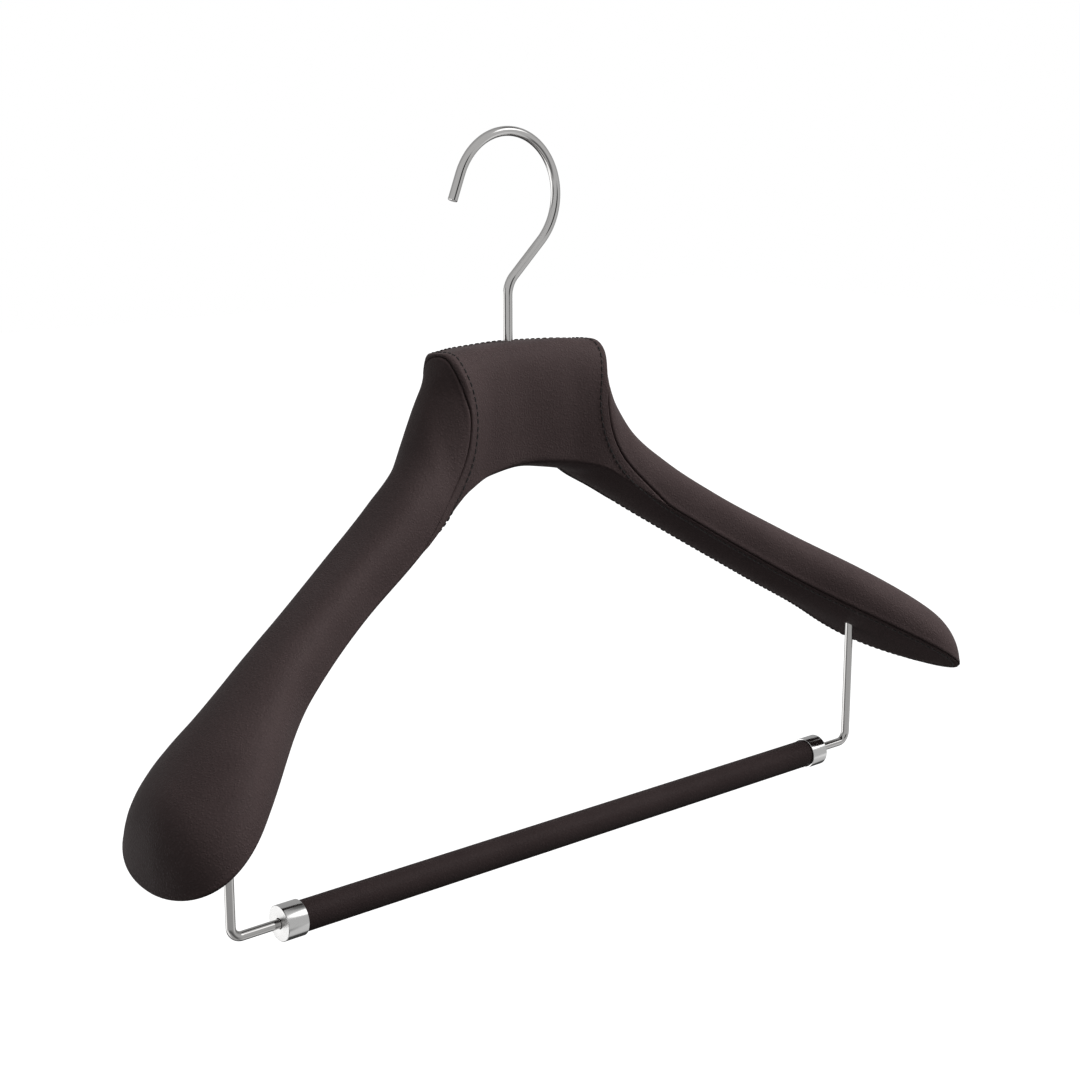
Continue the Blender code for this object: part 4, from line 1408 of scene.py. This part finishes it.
@dataclass
class Wire:
    """A round wire that lies in a plane square to Y, with its two ends broken by a small chamfer."""

    name: str
    diameter: float
    line: Array  # x and z of its middle line
    y: float = 0.0
    sides: int = 40
    chamfer: float = 0.25 * MM

    def build(self, finish: Finish, body: Body, slot: str) -> bpy.types.Object:
        """Carries a circle along the line, square to it, and closes the ends.

        Args:
            finish: The wire's finish.
            body: The body that it rides on.
            slot: The record's material slot. Not used.

        Returns:
            The piece.
        """
        line = self.line
        steps = unit(np.diff(line, axis=0))
        ahead = unit(np.vstack([steps[:1], steps]) + np.vstack([steps, steps[-1:]]))
        radius = np.full(len(line), self.diameter / 2)
        first, last = line[0], line[-1]
        chamfered = [first, first, first + steps[0] * self.chamfer]
        ending = [last - steps[-1] * self.chamfer, last, last]
        line = np.vstack([chamfered, line[1:-1], ending])
        ahead = np.vstack([[ahead[0]] * 3, ahead[1:-1], [ahead[-1]] * 3])
        small = self.diameter / 2 - self.chamfer
        radius = np.concatenate([[0, small, self.diameter / 2], radius[1:-1], [self.diameter / 2, small, 0]])
        out = np.stack([ahead[:, 1], -ahead[:, 0]], axis=1)
        angle = 2 * pi * np.arange(self.sides) / self.sides
        swing = radius[:, None] * np.cos(angle)
        x = line[:, :1] + out[:, :1] * swing
        z = line[:, 1:] + out[:, 1:] * swing
        y = self.y + radius[:, None] * np.sin(angle)
        points = np.stack([x, y, z], axis=-1).reshape(-1, 3)
        cells = grid_cells(len(line), self.sides)
        uv = tube_uv(lengths(line), self.sides, pi * self.diameter / self.sides)
        return make_piece(new_mesh(self.name, points, cells, uv), finish, body)


@dataclass
class Hook:
    """The hook and what holds it in the neck."""

    neck_top: float
    wire: float = 4.3 * MM
    crook_radius: float = 28 * MM
    crook_rise: float = 66.3 * MM
    crook_end: float = radians(158.8)
    tip_length: float = 12.0 * MM
    bend_rise: float = 27.7 * MM
    bend_radius: float = 12 * MM
    gap: float = 0.2 * MM  # between the stem and the leather

    def line(self, foot: float) -> Array:
        """The wire's middle line: up the stem, round its bend, straight to the crook, round it and on to the tip.

        Args:
            foot: Height of the stem's lower end.

        Returns:
            Its points.
        """
        centre = (0.0, self.neck_top + self.crook_rise)
        corner = self.neck_top + self.bend_rise
        slant = acos(self.crook_radius / (centre[1] - corner))
        bend = pi / 2 - slant
        start = corner - self.bend_radius * tan(bend / 2)
        lower = arc((self.bend_radius, start), self.bend_radius, pi, pi - bend)
        crook = arc(centre, self.crook_radius, slant - pi / 2, self.crook_end)
        ahead = self.crook_end + pi / 2
        tip = crook[-1] + self.tip_length * np.array([cos(ahead), sin(ahead)])
        return np.vstack([[0.0, foot], lower, crook, tip])

    def build(self) -> None:
        """Builds the wire, and dresses its washer and nut."""
        low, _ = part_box("hook")
        wire = Wire("hook_wire", self.wire, self.line(low.z))
        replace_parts(wire.build(HOOK_STEEL, Body.HOOK, "hook_steel"), "hook")
        for node in ("hook_washer", "hook_nut"):
            dress(node, FASTENER_STEEL)


@dataclass
class TrouserBar:
    """The trouser bar and the two rods that carry it."""

    axis: Vector
    rod: float = 4 * MM
    rod_bend: float = 5 * MM
    sleeve: float = 13.2 * MM
    sleeve_wall: float = 1.2 * MM
    clearance: float = 0.3 * MM
    ferrule_wall: float = 0.65 * MM
    ferrule_face: float = 1.0 * MM
    edge: float = 0.35 * MM
    mouth_edge: float = 0.15 * MM
    back_edge: float = 0.2 * MM
    sleeve_roll: float = 0.5 * MM
    sleeve_columns: int = 120
    sides: int = 96
    gap: float = 0.15 * MM  # between a rod and the leather
    seat: float = 22 * MM  # how far below a rod's top the leather is

    def build_rod(self, side: Side) -> None:
        """Builds one rod: down from the arm, round its bend and in along the bar's axis.

        Args:
            side: Which rod.
        """
        low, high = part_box("rod_" + side.word)
        outside = max(abs(low.x), abs(high.x)) - self.rod / 2
        inside = min(abs(low.x), abs(high.x))
        bend = arc((outside - self.rod_bend, self.axis.z + self.rod_bend), self.rod_bend, 0, -pi / 2)
        line = np.vstack([[outside, high.z], bend, [inside, self.axis.z]]) * np.array([side.value, 1])
        rod = Wire("rod_wire_" + side.word, self.rod, line, self.axis.y)
        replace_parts(rod.build(SHADED_ROD_STEEL, Body.HANGER, "rod_steel"), "rod_" + side.word)

    def turned(self, name: str, along: Array, radius: Array, finish: Finish, slot: str) -> bpy.types.Object:
        """Turns a closed profile about the bar's axis.

        Args:
            name: The piece's name.
            along: The profile's places along the bar.
            radius: Its radii.
            finish: The finish.
            slot: The record's material slot. Not used.

        Returns:
            The piece.
        """
        points, cells = turned_surface(along, radius, self.sides)
        points = points + np.array([0, self.axis.y, self.axis.z])
        return make_piece(new_mesh(name, points, cells), finish, Body.BAR)

    def build_ferrule(self, side: Side) -> None:
        """Builds one end cap: a thin cup with a rounded rim, a flat end face and a hole for the rod.

        Args:
            side: Which one.
        """
        node = "ferrule_" + side.word
        low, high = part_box(node)
        far, near = max(abs(low.x), abs(high.x)), min(abs(low.x), abs(high.x))
        hole = self.rod / 2 + self.clearance
        bore = self.sleeve / 2 + self.clearance
        outside = bore + self.ferrule_wall
        rim = arc((far - self.edge, outside - self.edge), self.edge, pi / 2, 0, radians(9))
        mouth = arc((far - self.mouth_edge, hole + self.mouth_edge), self.mouth_edge, 0, -pi / 2, radians(15))
        back = arc((near + self.back_edge, outside - self.back_edge), self.back_edge, pi, pi / 2, radians(15))
        inner = [(far - self.ferrule_face, hole), (far - self.ferrule_face, bore), (near, bore)]
        profile = np.vstack([back, rim, mouth, inner, back[:1]])
        finish = FerruleFinish("ferrule steel", face=far)
        name, along = "ferrule_cap_" + side.word, profile[:, 0] * side.value
        piece = self.turned(name, along, profile[:, 1], finish, "ferrule_steel")
        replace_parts(piece, node)

    def build_sleeve(self) -> None:
        """Builds the leather sleeve, whose edges roll in at the ferrules."""
        low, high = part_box("bar_leather")
        outside, inside = self.sleeve / 2, self.sleeve / 2 - self.sleeve_wall
        roll = self.sleeve_roll
        even = np.linspace(low.x + roll, high.x - roll, self.sleeve_columns)
        first = arc((low.x + roll, outside - roll), roll, pi, pi / 2, radians(15))
        last = arc((high.x - roll, outside - roll), roll, pi / 2, 0, radians(15))
        top = np.stack([even[1:-1], np.full(len(even) - 2, outside)], axis=1)
        profile = np.vstack([first, top, last, [(high.x, inside), (low.x, inside)], first[:1]])
        sleeve = self.turned("bar_sleeve", profile[:, 0], profile[:, 1], SHADED_BAR_LEATHER, "bar_leather")
        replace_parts(sleeve, "bar_leather")

    def build(self) -> None:
        """Builds the rods, the ferrules and the sleeve, and dresses what is inside."""
        for side in Side:
            self.build_rod(side)
            self.build_ferrule(side)
            dress("bar_bush_" + side.word, BUSH_NYLON)
        self.build_sleeve()
        dress("bar_core", ARM_WOOD)


@dataclass(frozen=True)
class Card:
    """A card or flag of the room, as the metal mirrors it."""

    aim: tuple[float, float, float]
    edge: float  # cosine of the angle off its aim at which it ends
    full: float  # the same where it starts to fade
    amount: float  # what it adds to the room's level


CARDS = (
    Card((-0.958, 0.170, -0.231), 0.925, 0.980, -0.36),  # a dark flag on the left
    Card((-0.910, 0.400, 0.050), 0.940, 0.985, -0.36),  # its upper end
    Card((0.030, -0.985, 0.130), 0.950, 0.980, -0.70),  # the camera's own side, dark
    Card((0.626, 0.017, 0.779), 0.965, 0.992, -0.30),  # a gap over the key light
    Card((0.626, -0.509, 0.590), 0.955, 0.985, 1.30),  # the key light's own panel
    Card((-0.570, 0.780, -0.240), 0.860, 0.960, 1.05),  # a white card behind on the left
    Card((0.626, -0.392, -0.673), 0.880, 0.965, 0.50),  # a white card below on the right
    Card((-0.660, 0.280, -0.700), 0.820, 0.940, 0.40),  # a pale card below on the left
    Card((-0.660, 0.280, -0.700), 0.955, 0.985, 0.75),  # its lit middle
    Card((-0.250, -0.080, -0.966), 0.800, 0.930, 0.34),  # another straight below
)


@dataclass(frozen=True)
class Lamp:
    """A soft box that faces the hanger."""

    name: str
    place: tuple[float, float, float]
    size: tuple[float, float]  # width and height
    power: float  # in watts


LAMPS = (
    Lamp("key", (0.93, -0.72, 0.80), (1.1, 1.1), 14.2),
    Lamp("front", (0.30, -0.90, 1.20), (1.1, 0.9), 13.4),
    Lamp("overhead", (0.25, 0.10, 1.50), (1.6, 1.2), 1.6),
)


@dataclass
class Studio:
    """The camera at the photograph's angle, the lamps, the pale floor and the white surroundings."""

    aim: Vector  # the top of the neck, which the camera's place is measured from
    yaw: float = radians(-40.08)
    pitch: float = radians(13.38)
    right: float = 0.01442
    up: float = -0.08710
    back: float = 0.84137
    lens: float = 62.49
    sensor: float = 36.0
    floor: float = -1.25
    floor_half: float = 9.0
    lamp_aim: float = -0.18  # height that the lamps face
    light: float = 0.12  # level of the surroundings' light
    light_most: float = 0.30  # the same from where it is strongest
    light_from: tuple[float, float, float] = (-0.79, 0.41, -0.45)
    light_fade: tuple[float, float] = (0.40, 0.98)  # cosines off that aim between which it rises
    light_drop: tuple[float, float, float] = (-0.20, -0.80, -0.05)  # heights of a ray's way, and the change over them
    room: float = 0.54  # level of what the metal mirrors
    room_least: float = 0.38  # the same on the side away from its aim
    room_from: tuple[float, float, float] = (-0.50, -0.86, 0.0)
    room_fade: tuple[float, float] = (-0.60, 0.20)
    room_drop: tuple[float, float, float] = (-0.32, -0.60, -0.40)
    darkest: float = 0.05

    def axes(self) -> Matrix:
        """The camera's right, up and back, as the columns of a matrix."""
        return Matrix.Rotation(self.yaw, 3, "Z") @ Matrix.Rotation(pi / 2 - self.pitch, 3, "X")

    def build_camera(self) -> None:
        """Sets the camera up."""
        camera = placed("camera", bpy.data.cameras.new("camera"))
        camera.data.lens = self.lens
        camera.data.sensor_width = self.sensor
        axes = self.axes()
        place = self.aim + axes @ Vector((self.right, self.up, self.back))
        camera.matrix_world = Matrix.Translation(place) @ axes.to_4x4()
        bpy.context.scene.camera = camera

    def hang(self, lamp: Lamp) -> None:
        """Hangs a lamp and turns it to the hanger.

        Args:
            lamp: The lamp.
        """
        light = bpy.data.lights.new(lamp.name, "AREA")
        light.shape = "RECTANGLE"
        light.size, light.size_y = lamp.size
        light.energy = lamp.power
        box, place = placed(lamp.name, light), Vector(lamp.place)
        box.visible_glossy = False
        box.location = place
        box.rotation_mode = "QUATERNION"
        box.rotation_quaternion = (Vector((0, 0, self.lamp_aim)) - place).to_track_quat("-Z", "Y")

    def build_world(self) -> None:
        """Sets the surroundings: white behind the hanger, a soft light, and the room that the metal mirrors.

        The soft light is strongest from the left behind and falls off a little downwards. The room is a pale level
        with the cards added to it.
        """
        world = bpy.data.worlds.new("studio")
        world.use_nodes = True
        bpy.context.scene.world = world
        world.node_tree.nodes.clear()
        graph = Graph(world.node_tree)
        way = graph.add("ShaderNodeTexCoord").outputs["Generated"]
        height = graph.add("ShaderNodeSeparateXYZ", {0: way}).outputs[2]
        soft = graph.ramp(graph.towards(way, self.light_from), *self.light_fade, self.light, self.light_most)
        start, end, change = self.light_drop
        soft = graph.maths("ADD", soft, graph.ramp(height, start, end, 0.0, change))
        metal = graph.ramp(graph.towards(way, self.room_from), *self.room_fade, self.room_least, self.room)
        for card in CARDS:
            part = graph.ramp(graph.towards(way, card.aim), card.edge, card.full, 0.0, card.amount)
            metal = graph.maths("ADD", metal, part)
        start, end, change = self.room_drop
        metal = graph.maths("ADD", metal, graph.ramp(height, start, end, 0.0, change))
        metal = graph.maths("MAXIMUM", metal, self.darkest)
        path = graph.add("ShaderNodeLightPath").outputs
        sharp = graph.maths("MAXIMUM", path["Is Glossy Ray"], path["Is Transmission Ray"])
        seen = graph.maths("MULTIPLY_ADD", sharp, graph.maths("SUBTRACT", metal, soft), soft)
        level = graph.maths("MAXIMUM", seen, path["Is Camera Ray"])
        light = graph.add("ShaderNodeBackground", {"Color": rgba((1.0, 1.0, 1.0)), "Strength": level})
        graph.add("ShaderNodeOutputWorld", {"Surface": light.outputs[0]})

    def build_floor(self) -> None:
        """Lays the floor, far below the hanging hanger. It looks white and still takes a shadow."""
        mesh = bpy.data.meshes.new("floor")
        half = self.floor_half
        corners = [(x * half, y * half, self.floor) for x, y in ((-1, -1), (1, -1), (1, 1), (-1, 1))]
        mesh.from_pydata(corners, [], [(0, 1, 2, 3)])
        mesh.materials.append(FloorFinish("pale floor").material())
        floor = placed("floor", mesh)
        floor.visible_glossy = False
        floor.visible_diffuse = False

    def build(self) -> None:
        """Builds the whole studio."""
        bpy.context.scene.view_settings.view_transform = "Standard"
        self.build_camera()
        self.build_world()
        self.build_floor()
        for lamp in LAMPS:
            self.hang(lamp)


def main() -> None:
    """Builds the hanger's looks and the studio, in order."""
    joints = {joint["name"]: Vector(joint["pos_m"]) for joint in frame["joints"]}
    neck = joints["hook_swivel"]
    bar_axis = joints["bar_roll"]
    hook = Hook(neck.z)
    hook.build()
    bar = TrouserBar(bar_axis)
    bar.build()
    for node in ("core_left", "core_right"):
        dress(node, ARM_WOOD)
    for node in ("dowel_upper", "dowel_lower"):
        dress(node, DOWEL_WOOD)
    dress("neck_bush", BUSH_BRASS)
    holes = [Hole(neck, hook.wire / 2 + hook.gap)]
    for side in Side:
        low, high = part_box("rod_" + side.word)
        outside = side.value * (max(abs(low.x), abs(high.x)) - bar.rod / 2)
        holes.append(Hole(Vector((outside, bar_axis.y, high.z - bar.seat)), bar.rod / 2 + bar.gap))
    LeatherCover(BodyForm(neck.z)).build(holes)
    Studio(neck).build()


if __name__ == "__main__":
    main()
